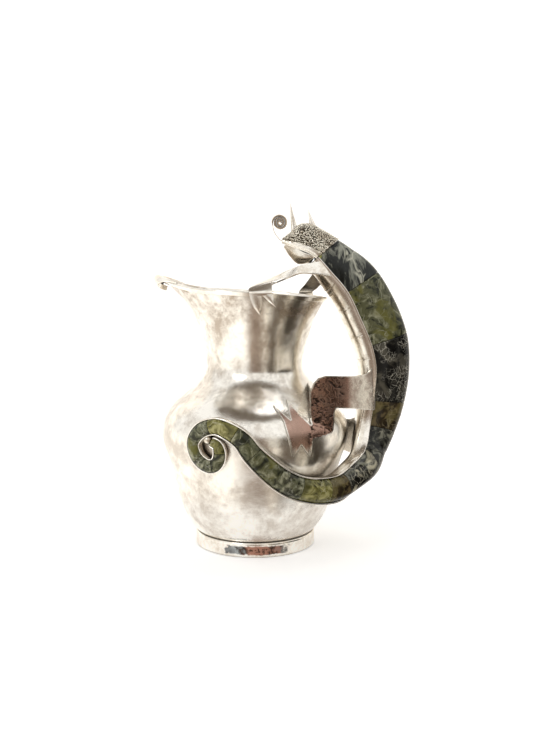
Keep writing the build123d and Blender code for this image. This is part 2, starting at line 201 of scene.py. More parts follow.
def addNode(tree, kind, **values):
    made = tree.nodes.new(kind)
    for key, value in values.items():
        if socketName(key) in made.inputs:
            feed(tree, made.inputs[socketName(key)], value)
        else:
            setattr(made, key, value)
    return made


def newGroup(name, inputs, outputs):
    group = bpy.data.node_groups.new(name, "ShaderNodeTree")
    for label, kind, default in inputs:
        socket = group.interface.new_socket(label, in_out="INPUT", socket_type=kind)
        socket.default_value = default
    for label, kind in outputs:
        group.interface.new_socket(label, in_out="OUTPUT", socket_type=kind)
    return group, group.nodes.new("NodeGroupInput"), group.nodes.new("NodeGroupOutput")


def ramp(tree, factor, stops):
    made = tree.nodes.new("ShaderNodeValToRGB")
    elements = made.color_ramp.elements
    while len(elements) < len(stops):
        elements.new(0.5)
    for element, (position, colour) in zip(elements, stops):
        element.position = position
        element.color = colour if len(colour) == 4 else (*colour, 1)
    tree.links.new(factor, made.inputs["Fac"])
    return made.outputs["Color"]


def grey(value):
    return (value, value, value, 1)


def mixColour(tree, factor, a, b):
    made = tree.nodes.new("ShaderNodeMix")
    made.data_type = "RGBA"
    for index, value in ((0, factor), (6, a), (7, b)):  # the colour sockets of this node have these places
        feed(tree, made.inputs[index], value)
    return made.outputs[2]


def calculate(tree, operation, a, b=0.0, c=0.0, clamp=False):
    made = tree.nodes.new("ShaderNodeMath")
    made.operation = operation
    made.use_clamp = clamp
    for socket, value in zip(made.inputs, (a, b, c)):
        feed(tree, socket, value)
    return made.outputs[0]


def noiseAt(tree, vector, scale, detail=4, roughness=0.55, distortion=0.0):
    made = addNode(tree, "ShaderNodeTexNoise", vector=vector, scale=scale, detail=detail, roughness=roughness,
                   distortion=distortion)
    return made.outputs["Fac"]


# Warm clouds of tarnish with a few dark spots, and what they do to the polish
def makeTarnishGroup():
    group, source, sink = newGroup("silverTarnish", [
        ("Vector", "NodeSocketVector", (0, 0, 0)),
        ("Clean Colour", "NodeSocketColor", (0.93, 0.92, 0.88, 1)),
        ("Tarnish Colour", "NodeSocketColor", (0.55, 0.45, 0.33, 1)),
        ("Cloud Scale", "NodeSocketFloat", 28.0),
        ("Amount", "NodeSocketFloat", 0.5),
        ("Polish", "NodeSocketFloat", 0.12),
    ], [("Colour", "NodeSocketColor"), ("Roughness", "NodeSocketFloat"), ("Mask", "NodeSocketFloat")])
    vector = source.outputs["Vector"]
    scale = source.outputs["Cloud Scale"]
    big = noiseAt(group, vector, scale, 5, 0.62, 0.4)
    small = noiseAt(group, vector, calculate(group, "MULTIPLY", scale, 6.5), 4, 0.65)
    blended = calculate(group, "ADD", calculate(group, "MULTIPLY", big, 0.72),
                        calculate(group, "MULTIPLY", small, 0.28))
    clouds = ramp(group, blended, [(0.43, grey(0)), (0.49, grey(0.3)), (0.53, grey(0.55)), (0.60, grey(1))])
    mask = calculate(group, "MULTIPLY", clouds, source.outputs["Amount"], clamp=True)
    speckle = noiseAt(group, vector, calculate(group, "MULTIPLY", scale, 28.0), 2, 0.5)
    specks = ramp(group, speckle, [(0.66, grey(0)), (0.74, grey(1))])
    specks = calculate(group, "MULTIPLY", specks, mask)
    colour = mixColour(group, mask, source.outputs["Clean Colour"], source.outputs["Tarnish Colour"])
    colour = mixColour(group, calculate(group, "MULTIPLY", specks, 0.6), colour, (0.16, 0.12, 0.09, 1))
    rough = calculate(group, "MULTIPLY_ADD", mask, 0.2, source.outputs["Polish"])
    group.links.new(colour, sink.inputs["Colour"])
    group.links.new(rough, sink.inputs["Roughness"])
    group.links.new(mask, sink.inputs["Mask"])
    return group


# Where dirt and oxide gather and where shade falls: corners, joints, cuts and places near other parts get
# painted shade from ambient occlusion
def makeShadeAndDirtGroup():
    group, source, sink = newGroup("paintedShadeAndDirt", [
        ("Colour", "NodeSocketColor", (0.9, 0.9, 0.86, 1)),
        ("Shade And Dirt Colour", "NodeSocketColor", (0.1, 0.075, 0.05, 1)),
        ("Reach", "NodeSocketFloat", 0.003),
        ("Amount", "NodeSocketFloat", 0.8),
    ], [("Colour", "NodeSocketColor"), ("Mask", "NodeSocketFloat")])
    # painted shade: ambient occlusion darkens the colour within the reach, over real dirt and oxide in the
    # hollows
    shade = addNode(group, "ShaderNodeAmbientOcclusion", distance=source.outputs["Reach"])
    shade.samples = 6
    shadeAndDirt = ramp(group, shade.outputs["AO"], [(0.25, grey(1)), (0.8, grey(0))])
    mask = calculate(group, "MULTIPLY", shadeAndDirt, source.outputs["Amount"], clamp=True)
    colour = mixColour(group, mask, source.outputs["Colour"], source.outputs["Shade And Dirt Colour"])
    group.links.new(colour, sink.inputs["Colour"])
    group.links.new(mask, sink.inputs["Mask"])
    return group


# The slow waves of a raised surface and the fine lines of its polishing
def makeHandWorkGroup():
    group, source, sink = newGroup("handWork", [
        ("Vector", "NodeSocketVector", (0, 0, 0)),
        ("Wave Scale", "NodeSocketFloat", 45.0),
        ("Wave Height", "NodeSocketFloat", 1.0),
        ("Scratch Height", "NodeSocketFloat", 0.1),
    ], [("Height", "NodeSocketFloat")])
    vector = source.outputs["Vector"]
    wave = noiseAt(group, vector, source.outputs["Wave Scale"], 2, 0.4, 0.3)
    stretch = addNode(group, "ShaderNodeMapping", vector=vector, scale=(1.0, 1.0, 7.0))
    lines = noiseAt(group, stretch.outputs["Vector"], 420.0, 3, 0.7)
    height = calculate(group, "MULTIPLY", wave, source.outputs["Wave Height"])
    height = calculate(group, "MULTIPLY_ADD", lines, source.outputs["Scratch Height"], height)
    group.links.new(height, sink.inputs["Height"])
    return group


# Clouded stone: three body colours, pale veins and pale patches
def makeStoneGroup():
    group, source, sink = newGroup("cloudedStone", [
        ("Vector", "NodeSocketVector", (0, 0, 0)),
        ("Deep Colour", "NodeSocketColor", (0.05, 0.05, 0.04, 1)),
        ("Body Colour", "NodeSocketColor", (0.2, 0.2, 0.1, 1)),
        ("Light Colour", "NodeSocketColor", (0.4, 0.4, 0.25, 1)),
        ("Vein Colour", "NodeSocketColor", (0.7, 0.68, 0.55, 1)),
        ("Cloud Scale", "NodeSocketFloat", 70.0),
        ("Vein Scale", "NodeSocketFloat", 110.0),
        ("Vein Amount", "NodeSocketFloat", 0.5),
        ("Patch Colour", "NodeSocketColor", (0.6, 0.62, 0.3, 1)),
        ("Patch Amount", "NodeSocketFloat", 0.4),
    ], [("Colour", "NodeSocketColor"), ("Roughness", "NodeSocketFloat"), ("Height", "NodeSocketFloat")])
    vector = source.outputs["Vector"]
    clouds = noiseAt(group, vector, source.outputs["Cloud Scale"], 7, 0.62, 1.1)
    lower = mixColour(group, ramp(group, clouds, [(0.38, grey(0)), (0.47, grey(1))]),
                      source.outputs["Deep Colour"], source.outputs["Body Colour"])
    colour = mixColour(group, ramp(group, clouds, [(0.5, grey(0)), (0.61, grey(1))]),
                       lower, source.outputs["Light Colour"])
    patches = noiseAt(group, vector, calculate(group, "MULTIPLY", source.outputs["Cloud Scale"], 0.55),
                      3, 0.5, 0.8)
    patches = ramp(group, patches, [(0.56, grey(0)), (0.64, grey(1))])
    patches = calculate(group, "MULTIPLY", patches, source.outputs["Patch Amount"], clamp=True)
    colour = mixColour(group, patches, colour, source.outputs["Patch Colour"])
    warp = addNode(group, "ShaderNodeTexNoise", vector=vector, scale=55.0, detail=3.0)
    bent = addNode(group, "ShaderNodeVectorMath", operation="MULTIPLY_ADD")
    group.links.new(warp.outputs["Color"], bent.inputs[0])
    bent.inputs[1].default_value = (0.02, 0.02, 0.02)
    group.links.new(vector, bent.inputs[2])
    veins = addNode(group, "ShaderNodeTexVoronoi", feature="DISTANCE_TO_EDGE",
                    vector=bent.outputs[0], scale=source.outputs["Vein Scale"])
    veins = ramp(group, veins.outputs["Distance"], [(0.0, grey(1)), (0.045, grey(0))])
    broken = ramp(group, noiseAt(group, vector, 60.0, 3), [(0.47, grey(0)), (0.58, grey(1))])
    veins = calculate(group, "MULTIPLY", veins, broken)
    veins = calculate(group, "MULTIPLY", veins, source.outputs["Vein Amount"], clamp=True)
    colour = mixColour(group, veins, colour, source.outputs["Vein Colour"])
    rough = calculate(group, "MULTIPLY_ADD", clouds, 0.12, 0.06)
    group.links.new(colour, sink.inputs["Colour"])
    group.links.new(rough, sink.inputs["Roughness"])
    group.links.new(calculate(group, "ADD", clouds, veins), sink.inputs["Height"])
    return group


tarnishGroup = makeTarnishGroup()
shadeAndDirtGroup = makeShadeAndDirtGroup()
handWorkGroup = makeHandWorkGroup()
stoneGroup = makeStoneGroup()


def newMaterial(name):
    material = bpy.data.materials.new(name)
    material.use_nodes = True
    tree = material.node_tree
    return material, tree, tree.nodes["Principled BSDF"]


def placed(tree, group, **values):
    made = tree.nodes.new("ShaderNodeGroup")
    made.node_tree = group
    for key, value in values.items():
        feed(tree, made.inputs[socketName(key)], value)
    return made


def makeSilver(name, clean, tarnish, cloudScale, amount, polish, dirt, waveHeight, scratch=0.1,
               reach=0.003, bumpDistance=0.0012, heights=None):
    material, tree, shader = newMaterial(name)
    where = tree.nodes.new("ShaderNodeTexCoord").outputs["Object"]
    if heights:  # darker and rougher towards the neck: the darkening rises between the two heights, by the third value
        low, high, more = heights
        height = addNode(tree, "ShaderNodeSeparateXYZ", vector=where).outputs["Z"]
        rise = addNode(tree, "ShaderNodeMapRange", value=height)
        limits = (("From Min", low), ("From Max", high), ("To Min", amount), ("To Max", amount + more))
        for key, value in limits:
            rise.inputs[key].default_value = value
        amount = rise.outputs["Result"]
    worn = placed(tree, tarnishGroup, vector=where, cleanColour=clean, tarnishColour=tarnish,
                  cloudScale=cloudScale, amount=amount, polish=polish)
    # painted shade with dirt: the colour darkens in corners and near other parts
    shadeAndDirt = placed(tree, shadeAndDirtGroup, colour=worn.outputs["Colour"], reach=reach, amount=dirt)
    work = placed(tree, handWorkGroup, vector=where, waveHeight=waveHeight, scratchHeight=scratch)
    bump = addNode(tree, "ShaderNodeBump", height=work.outputs["Height"], strength=0.35,
                   distance=bumpDistance)
    rough = calculate(tree, "MULTIPLY_ADD", shadeAndDirt.outputs["Mask"], 0.3, worn.outputs["Roughness"])
    shader.inputs["Metallic"].default_value = 1.0
    tree.links.new(shadeAndDirt.outputs["Colour"], shader.inputs["Base Color"])
    tree.links.new(rough, shader.inputs["Roughness"])
    tree.links.new(bump.outputs["Normal"], shader.inputs["Normal"])
    return material


def makeStone(name, deep, body, light, vein, patch, cloudScale, veinScale, veinAmount, patchAmount,
              stretch=(1, 1, 1)):
    material, tree, shader = newMaterial(name)
    where = tree.nodes.new("ShaderNodeTexCoord").outputs["Object"]
    where = addNode(tree, "ShaderNodeMapping", vector=where, scale=stretch).outputs["Vector"]
    stone = placed(tree, stoneGroup, vector=where, deepColour=(*deep, 1), bodyColour=(*body, 1),
                   lightColour=(*light, 1), veinColour=(*vein, 1), patchColour=(*patch, 1),
                   cloudScale=cloudScale, veinScale=veinScale, veinAmount=veinAmount,
                   patchAmount=patchAmount)
    bump = addNode(tree, "ShaderNodeBump", height=stone.outputs["Height"], strength=0.12,
                   distance=0.0004)
    shader.inputs["Specular IOR Level"].default_value = 0.2
    shader.inputs["Coat Weight"].default_value = 0.08
    shader.inputs["Coat Roughness"].default_value = 0.03
    tree.links.new(stone.outputs["Colour"], shader.inputs["Base Color"])
    tree.links.new(stone.outputs["Roughness"], shader.inputs["Roughness"])
    tree.links.new(bump.outputs["Normal"], shader.inputs["Normal"])
    return material


brightSilver = (0.93, 0.905, 0.85, 1)
warmSilver = (0.62, 0.52, 0.40, 1)
brownSilver = (0.36, 0.27, 0.17, 1)
# the vessel's 12 mm reach paints shade on it where the handle, legs and lip come close
vesselSilver = makeSilver("raisedSilver", brightSilver, (0.36, 0.28, 0.21, 1), cloudScale=26, amount=0.55,
                          polish=0.11, dirt=0.6, waveHeight=1.0, reach=0.012, bumpDistance=0.0018,
                          heights=(0.140, 0.215, 0.3))
trimSilver = makeSilver("trimSilver", brightSilver, warmSilver, cloudScale=40, amount=0.45, polish=0.10,
                        dirt=0.7, waveHeight=0.35)
sheetSilver = makeSilver("sheetSilver", brightSilver, warmSilver, cloudScale=55, amount=0.5, polish=0.14,
                         dirt=0.6, waveHeight=0.5)
plateSilver = makeSilver("plateSilver", (0.86, 0.82, 0.74, 1), brownSilver, cloudScale=45, amount=0.7,
                         polish=0.14, dirt=0.9, waveHeight=0.5)
bezelSilver = makeSilver("bezelSilver", (0.93, 0.90, 0.84, 1), brownSilver, cloudScale=60, amount=0.4,
                         polish=0.12, dirt=0.5, waveHeight=0.3, reach=0.0012)
grainSilver = makeSilver("granulatedSilver", (0.93, 0.90, 0.80, 1), brownSilver, cloudScale=90, amount=0.6,
                         polish=0.14, dirt=0.7, waveHeight=0.2, reach=0.0008)
blackenedSilver = makeSilver("blackenedSilver", (0.055, 0.045, 0.03, 1), (0.02, 0.015, 0.01, 1),
                             cloudScale=90, amount=0.6, polish=0.3, dirt=0.5, waveHeight=0.2)
oxidisedSilver = makeSilver("oxidisedSilver", (0.3, 0.27, 0.22, 1), (0.08, 0.06, 0.05, 1), cloudScale=120,
                            amount=0.7, polish=0.2, dirt=0.9, waveHeight=0.2)


chasedLook = {"legReach": 0.110, "cutColour": (0.03, 0.02, 0.015, 1)}  # the reach in metres


# Sheet silver with dark cuts and a copper-coloured face; its edges and toe tips get a painted highlight of
# bright silver
def makeChased(name):
    material, tree, shader = newMaterial(name)
    where = tree.nodes.new("ShaderNodeTexCoord").outputs["Object"]
    cuts = addNode(tree, "ShaderNodeAttribute", attribute_name="chased").outputs["Fac"]
    worn = addNode(tree, "ShaderNodeAttribute", attribute_name="worn").outputs["Fac"]
    east = addNode(tree, "ShaderNodeSeparateXYZ", vector=where).outputs["X"]
    alongLeg = calculate(tree, "MULTIPLY", east, 1 / chasedLook["legReach"])
    copper = ramp(tree, alongLeg,
                  [(0.10, (0.60, 0.50, 0.44)), (0.26, (0.48, 0.33, 0.27)), (0.50, (0.38, 0.22, 0.17)),
                   (0.72, (0.36, 0.21, 0.16)), (0.78, (0.84, 0.80, 0.72))])
    stained = placed(tree, tarnishGroup, vector=where, cleanColour=copper,
                     tarnishColour=(0.36, 0.24, 0.19, 1), cloudScale=70, amount=0.7, polish=0.2)
    colour = mixColour(tree, cuts, stained.outputs["Colour"], chasedLook["cutColour"])
    # painted highlight: bright silver on the edges and toe tips, and on the plain back
    colour = mixColour(tree, worn, colour, brightSilver)
    # painted shade with dirt in the corners and cuts
    shadeAndDirt = placed(tree, shadeAndDirtGroup, colour=colour, reach=0.003, amount=0.6)
    work = placed(tree, handWorkGroup, vector=where, waveHeight=0.6, scratchHeight=0.15)
    bump = addNode(tree, "ShaderNodeBump", height=work.outputs["Height"], strength=0.35, distance=0.001)
    shader.inputs["Metallic"].default_value = 1.0
    tree.links.new(shadeAndDirt.outputs["Colour"], shader.inputs["Base Color"])
    rough = calculate(tree, "MULTIPLY_ADD", cuts, 0.4, stained.outputs["Roughness"])
    tree.links.new(rough, shader.inputs["Roughness"])
    tree.links.new(bump.outputs["Normal"], shader.inputs["Normal"])
    return material


chasedSilver = makeChased("chasedSilver")


# The foot's silver, with a patch of pink-brown, dark and grey bands across its front, grey at the patch's
# ends
def makeBandedFoot(name):
    material, tree, shader = newMaterial(name)
    where = tree.nodes.new("ShaderNodeTexCoord").outputs["Object"]
    east, north, up = addNode(tree, "ShaderNodeSeparateXYZ", vector=where).outputs
    worn = placed(tree, tarnishGroup, vector=where, cleanColour=brightSilver, tarnishColour=warmSilver,
                  cloudScale=45, amount=0.6, polish=0.12)
    wander = calculate(tree, "MULTIPLY_ADD", noiseAt(tree, where, 190, 3), 0.02, -0.01)
    across = calculate(tree, "MULTIPLY_ADD", calculate(tree, "ADD", east, wander), 10, 0.5)
    patch = ramp(tree, across, [
        (0.235, (0.5, 0.42, 0.34)), (0.25, (0.15, 0.15, 0.15)), (0.34, (0.34, 0.36, 0.36)),
        (0.40, (0.06, 0.045, 0.035)), (0.44, (0.40, 0.21, 0.15)), (0.60, (0.34, 0.17, 0.12)),
        (0.66, (0.03, 0.02, 0.015)), (0.70, (0.30, 0.16, 0.12)), (0.76, (0.2, 0.2, 0.19)),
        (0.80, (0.5, 0.42, 0.34))])
    sides = ramp(tree, across, [(0.23, grey(0)), (0.26, grey(1)), (0.76, grey(1)), (0.80, grey(0))])
    front = ramp(tree, calculate(tree, "MULTIPLY", north, -10), [(0.3, grey(0)), (0.36, grey(1))])
    level = ramp(tree, calculate(tree, "MULTIPLY_ADD", wander, 14, calculate(tree, "MULTIPLY", up, 70)),
                 [(0.16, grey(0)), (0.22, grey(1)), (0.66, grey(1)), (0.74, grey(0))])
    mask = calculate(tree, "MULTIPLY", calculate(tree, "MULTIPLY", sides, front), level)
    spots = ramp(tree, noiseAt(tree, where, 420, 3, 0.6), [(0.56, grey(0)), (0.62, grey(1))])
    patch = mixColour(tree, calculate(tree, "MULTIPLY", spots, 0.8), patch, (0.03, 0.02, 0.015, 1))
    colour = mixColour(tree, mask, worn.outputs["Colour"], patch)
    # painted shade with dirt in the corners
    shadeAndDirt = placed(tree, shadeAndDirtGroup, colour=colour, reach=0.003, amount=0.6)
    shader.inputs["Metallic"].default_value = 1.0
    tree.links.new(shadeAndDirt.outputs["Colour"], shader.inputs["Base Color"])
    rough = calculate(tree, "MULTIPLY_ADD", mask, 0.15, worn.outputs["Roughness"])
    tree.links.new(rough, shader.inputs["Roughness"])
    return material


bandedFootSilver = makeBandedFoot("bandedFootSilver")

stoneKinds = {
    "streaked_stone": makeStone(
        "streakedStone", deep=(0.008, 0.009, 0.008), body=(0.022, 0.025, 0.024),
        light=(0.30, 0.31, 0.26), vein=(0.6, 0.6, 0.5), patch=(0.42, 0.43, 0.12),
        cloudScale=62, veinScale=60, veinAmount=0.8, patchAmount=0.9, stretch=(1.0, 1.0, 0.32)),
    "olive_stone": makeStone(
        "oliveStone", deep=(0.018, 0.02, 0.010), body=(0.095, 0.098, 0.05),
        light=(0.30, 0.30, 0.20), vein=(0.5, 0.5, 0.38), patch=(0.135, 0.13, 0.03),
        cloudScale=85, veinScale=90, veinAmount=0.5, patchAmount=0.8),
    "black_stone": makeStone(
        "blackStone", deep=(0.003, 0.003, 0.003), body=(0.009, 0.009, 0.008),
        light=(0.055, 0.05, 0.04), vein=(0.62, 0.6, 0.52), patch=(0.14, 0.13, 0.10),
        cloudScale=90, veinScale=260, veinAmount=0.95, patchAmount=0.5),
    "brown_stone": makeStone(
        "brownStone", deep=(0.006, 0.005, 0.003), body=(0.028, 0.020, 0.010),
        light=(0.13, 0.10, 0.05), vein=(0.4, 0.34, 0.22), patch=(0.20, 0.17, 0.07),
        cloudScale=80, veinScale=170, veinAmount=0.4, patchAmount=0.5),
    "patched_stone": makeStone(
        "patchedStone", deep=(0.006, 0.006, 0.005), body=(0.035, 0.036, 0.03),
        light=(0.20, 0.20, 0.16), vein=(0.6, 0.57, 0.46), patch=(0.60, 0.56, 0.42),
        cloudScale=110, veinScale=150, veinAmount=0.7, patchAmount=0.9),
    "yellow_green_stone": makeStone(
        "yellowGreenStone", deep=(0.03, 0.028, 0.008), body=(0.17, 0.16, 0.05),
        light=(0.40, 0.38, 0.17), vein=(0.62, 0.6, 0.4), patch=(0.06, 0.06, 0.02),
        cloudScale=95, veinScale=130, veinAmount=0.5, patchAmount=0.7),
    "grey_green_stone": makeStone(
        "greyGreenStone", deep=(0.022, 0.024, 0.014), body=(0.12, 0.125, 0.075),
        light=(0.34, 0.34, 0.24), vein=(0.6, 0.6, 0.5), patch=(0.02, 0.02, 0.012),
        cloudScale=140, veinScale=220, veinAmount=0.7, patchAmount=0.8),
}
print("materials made")


vesselLow, vesselHigh = nodeBox("vessel_shell")
ringLow, ringHigh = nodeBox("foot_ring")
vesselLook = {
    "bellyRadius": (vesselHigh.y - vesselLow.y) / 2,
    "footRadius": (ringHigh.x - ringLow.x) / 2,
    "baseHeight": ringHigh.z,
    "baseRadius": 52.5,
    "bellyHeight": 103.0,
    "neckRadius": 43.3,
    "neckHeight": 161.0,
    "mouthRadius": 57.5,
    "rimHeight": 228.1,
    "wall": 1.2,
    "spoutThrow": 11.0,
    "spoutHalfAngle": 34.0,
    "mouthOval": 5.5,
    "dentDepth": 0.28,
    "floorDome": 1.5,
    "rimInset": 0.7,
    "rimSlope": 0.062,
    "rimCurve": 0.0004,
    "spoutLift": 10.6,
    "spoutLiftFrom": 38.0,
    "spoutReach": 5.2,
    "ovalFrom": 32.0,
    "ovalBelowRim": 8.7,
    "throwBelowRim": 18.0,
    "throwRise": 31.0,
}


def sideKnots(v):
    rise = v["bellyHeight"] - v["baseHeight"]
    swell = v["bellyRadius"] - v["baseRadius"]
    drop = v["neckHeight"] - v["bellyHeight"]
    waist = v["bellyRadius"] - v["neckRadius"]
    throat = v["rimHeight"] - 4.0 - v["neckHeight"]
    flare = v["mouthRadius"] - v["neckRadius"]
    return [
        (v["baseHeight"], v["baseRadius"], 3.0 * swell / rise),
        (v["baseHeight"] + 0.222 * rise, v["baseRadius"] + 0.412 * swell, 1.15 * swell / rise),
        (v["baseHeight"] + 0.667 * rise, v["baseRadius"] + 0.751 * swell, 0.85 * swell / rise),
        (v["bellyHeight"], v["bellyRadius"], 0.0),
        (v["bellyHeight"] + 0.517 * drop, v["neckRadius"] + 0.585 * waist, -1.82 * waist / drop),
        (v["neckHeight"], v["neckRadius"], 0.0),
        (v["neckHeight"] + 0.508 * throat, v["neckRadius"] + 0.43 * flare, 1.46 * flare / throat),
        (v["neckHeight"] + throat, v["mouthRadius"], 1.1 * flare / throat),
    ]


knots = sideKnots(vesselLook)


# Radius and slope of the round part of the vessel at a height
def sideRadius(z):
    if z >= knots[-1][0]:
        return knots[-1][1] + knots[-1][2] * (z - knots[-1][0]), knots[-1][2]
    index = max(k for k in range(len(knots) - 1) if z >= knots[k][0] or k == 0)
    (z0, r0, s0), (z1, r1, s1) = knots[index], knots[index + 1]
    span = z1 - z0
    t = (z - z0) / span
    radius = (2 * t ** 3 - 3 * t ** 2 + 1) * r0 + (t ** 3 - 2 * t ** 2 + t) * span * s0
    radius += (3 * t ** 2 - 2 * t ** 3) * r1 + (t ** 3 - t ** 2) * span * s1
    slope = (6 * t ** 2 - 6 * t) / span * (r0 - r1) + (3 * t ** 2 - 4 * t + 1) * s0
    return radius, slope + (3 * t ** 2 - 2 * t) * s1


def rimZ(x):
    v = vesselLook
    start = v["spoutLiftFrom"]
    lift = max(0.0, -x - start) / (v["bellyRadius"] + v["spoutReach"] - start)
    return v["rimHeight"] - v["rimSlope"] * x - v["rimCurve"] * x ** 2 + v["spoutLift"] * lift ** 1.7


def wallRadius(z, azimuth, inset=0.0):
    v = vesselLook
    radius, slope = sideRadius(z)
    start = v["neckHeight"] + v["ovalFrom"]
    oval = max(0.0, (z - start) / (v["rimHeight"] - v["ovalBelowRim"] - start))
    oval = v["mouthOval"] * (oval ** 2 if oval < 1 else 2 * oval - 1)
    throw = v["spoutThrow"] * (max(0.0, z - v["rimHeight"] + v["throwBelowRim"]) / v["throwRise"]) ** 2.2
    turn = math.degrees(math.atan2(math.sin(azimuth), -math.cos(azimuth)))
    throw *= math.exp(-(turn / v["spoutHalfAngle"]) ** 2)
    return radius + oval * math.cos(azimuth) ** 2 + throw - inset * math.sqrt(1 + slope ** 2)


# Height of the rim in a direction, where the wall meets the rim's line
def rimAt(azimuth):
    z = vesselLook["rimHeight"]
    for _ in range(12):
        z = 0.5 * z + 0.5 * rimZ(wallRadius(z, azimuth) * math.cos(azimuth))
    return z


def onWall(azimuth, z, out=0.0):
    radius = wallRadius(z, azimuth) + out
    return Vector((radius * math.cos(azimuth), radius * math.sin(azimuth), z))


def makeVessel():
    v = vesselLook
    around, up, rings = 256, 150, 9
    azimuths = [2 * math.pi * k / around for k in range(around)]
    rims = [rimAt(a) - v["rimInset"] for a in azimuths]
    floor = v["baseHeight"] + v["wall"]

    def dome(radius, height, k):
        share = k / rings
        rise = height + v["floorDome"] * (1 - share ** 2)
        return [(radius * k / rings * math.cos(a), radius * k / rings * math.sin(a), rise) for a in azimuths]

    rows = [dome(v["baseRadius"], v["baseHeight"], k) for k in range(1, rings)]
    for k in range(up + 1):
        row = []
        for a, top in zip(azimuths, rims):
            z = v["baseHeight"] + (top - v["baseHeight"]) * k / up
            point = onWall(a, z)
            soft = noise.noise(point * 0.045) + 0.5 * noise.noise(point * 0.11)
            dent = v["dentDepth"] * soft * smoothStep(14, 40, z) * smoothStep(4, 16, top - z)
            row.append(onWall(a, z, dent))
        rows.append(row)
    for k in range(up, -1, -1):
        row = []
        for a, top in zip(azimuths, rims):
            z = floor + (top - floor) * k / up
            radius = wallRadius(z, a, v["wall"])
            row.append((radius * math.cos(a), radius * math.sin(a), z))
        rows.append(row)
    inside = wallRadius(floor, 0, v["wall"])
    rows += [dome(inside, floor, k) for k in range(rings - 1, 0, -1)]
    points = [p for row in rows for p in row]
    faces = gridFaces(len(rows), around, around=True)
    bottom, top = len(points), len(points) + 1
    points += [(0, 0, v["baseHeight"] + v["floorDome"]), (0, 0, floor + v["floorDome"])]
    last = (len(rows) - 1) * around
    for k in range(around):
        faces.append((bottom, (k + 1) % around, k))
        faces.append((top, last + k, last + (k + 1) % around))
    return meshPiece("vessel", points, faces, 60)


bandLook = {"height": 4.4, "wall": 1.7, "bead": 1.05}


# A flat strip round the outside of the rim under a fine round bead
def makeRimBand():
    b = bandLook
    around = 300
    rows = []
    for k in range(around):
        a = 2 * math.pi * k / around
        top = rimAt(a)
        row = []
        for s, out in ((0.0, 0.15), (0.0, 0.7), (0.05, 1.0), (0.5, 1.0), (0.72, 1.0), (0.76, 0.55)):
            z = top - b["height"] * (1 - s)
            row.append(onWall(a, z, b["wall"] * out))
        wall = onWall(a, top - b["bead"], 0.2)
        outward = Vector((math.cos(a), math.sin(a), 0))
        for step in range(13):
            angle = math.radians(-55 + 250 * step / 12)
            rise = Vector((0, 0, b["bead"] * math.sin(angle)))
            row.append(wall + outward * (b["bead"] * math.cos(angle)) + rise)
        row.append(onWall(a, top - b["height"] * 0.5, -0.02))
        rows.append(row)
    return ringPiece("rimBand", rows, 35)


lipLook = {
    "spread": 25.0,
    "wall": 1.8,
    "swelling": 2.4,
    "highest": 11.2,
    "fold": [(-0.4, -1.6), (0.0, 0.4), (1.0, 1.5), (2.6, 0.9), (3.5, -1.4), (3.0, -4.2), (0.9, -6.6),
             (-2.4, -8.2), (-6.4, -9.4)],  # out from the wall's top and up
}


# The spout's lip, turned up, over and under; it runs out along the rim to each side
def makeLip():
    fold = lipLook["fold"]
    across, along = 61, 36
    outer, inner = [], []
    for i in range(across):
        share = -1 + 2 * i / (across - 1)
        azimuth = math.pi + math.radians(lipLook["spread"]) * share
        swell = (1 - abs(share) ** 2.2) * 0.96 + 0.04
        length = 0.3 + 0.7 * (1 - abs(share)) ** 1.35
        top = min(rimAt(azimuth), vesselLook["rimHeight"] + lipLook["highest"])
        radius = wallRadius(top, azimuth) + 0.2
        outward = Vector((math.cos(azimuth), math.sin(azimuth), 0))
        path, row = [], []
        for k in range(along):
            r, z = through(fold, (len(fold) - 1) * length * k / (along - 1))
            path.append(outward * (radius + r * swell) + Vector((0, 0, top + z * swell)))
        filled = []
        for k, p in enumerate(path):
            ahead, behind = path[min(k + 1, along - 1)], path[max(k - 1, 0)]
            tangent = (ahead - behind).normalized()
            normal = outward.cross(Vector((0, 0, 1))).cross(tangent).normalized()
            extra = lipLook["swelling"] * smoothStep(0.36, 0.62, k / (along - 1)) * swell
            row.append(p + normal * lipLook["wall"] * (0.4 + 0.6 * swell))
            filled.append(p - normal * extra)
        outer.append(filled)
        inner.append(row)
    return wallPiece("spoutLip", outer, inner)


def makeFoot():
    radius, top = vesselLook["footRadius"], vesselLook["baseHeight"]
    profile = [(radius - 1.7, 0.3), (radius - 1.3, 0.0), (radius - 0.9, 0.0), (radius - 0.35, 0.25),
               (radius, 0.9), (radius + 0.05, 2.2), (radius - 0.1, 6.0), (radius, 10.5),
               (radius - 0.1, top - 1.1), (radius - 0.5, top - 0.3), (radius - 1.2, top),
               (radius - 1.75, top)]
    around = 256
    rows = [[(r * math.cos(2 * math.pi * k / around), r * math.sin(2 * math.pi * k / around), z)
             for r, z in profile] for k in range(around)]
    return ringPiece("footRing", rows, 45)


place(makeVessel(), vesselSilver, "vessel_shell")
place(makeRimBand(), trimSilver, "rim_band")
place(makeLip(), trimSilver, "spout_lip")
place(makeFoot(), bandedFootSilver, "foot_ring")
print("vessel, rim, lip and foot made")


bodyLook = {
    "gap": 23.6,
    "halfWidth": 20.0,
    "neckAboveRim": 26.4,
    "plateWall": 1.1,
    "bezelWall": 0.95,
    "stoneWall": 3.4,
    "stoneBevel": 0.45,
    "jointGap": 0.16,
    "roundness": 2.3,
    "bezelRail": 4.6,
    "backingWall": 0.8,
    "backingDepth": 4.0,
    "spiralRadius": 20.0,
    "spiralAzimuth": 116.1,
    "spiralDrop": 1.9,
}


def tailRow(azimuth, z, gap, wide, high, deep, rail):
    reach = max(sideRadius(z + side * wide * 0.9)[0] for side in (-1, 0, 1))
    radius = reach + 0.3 + gap + deep
    x, y = radius * math.cos(azimuth), -radius * math.sin(azimuth)
    return [x, y, z, math.cos(azimuth), -math.sin(azimuth), 0, wide, high, deep, rail]


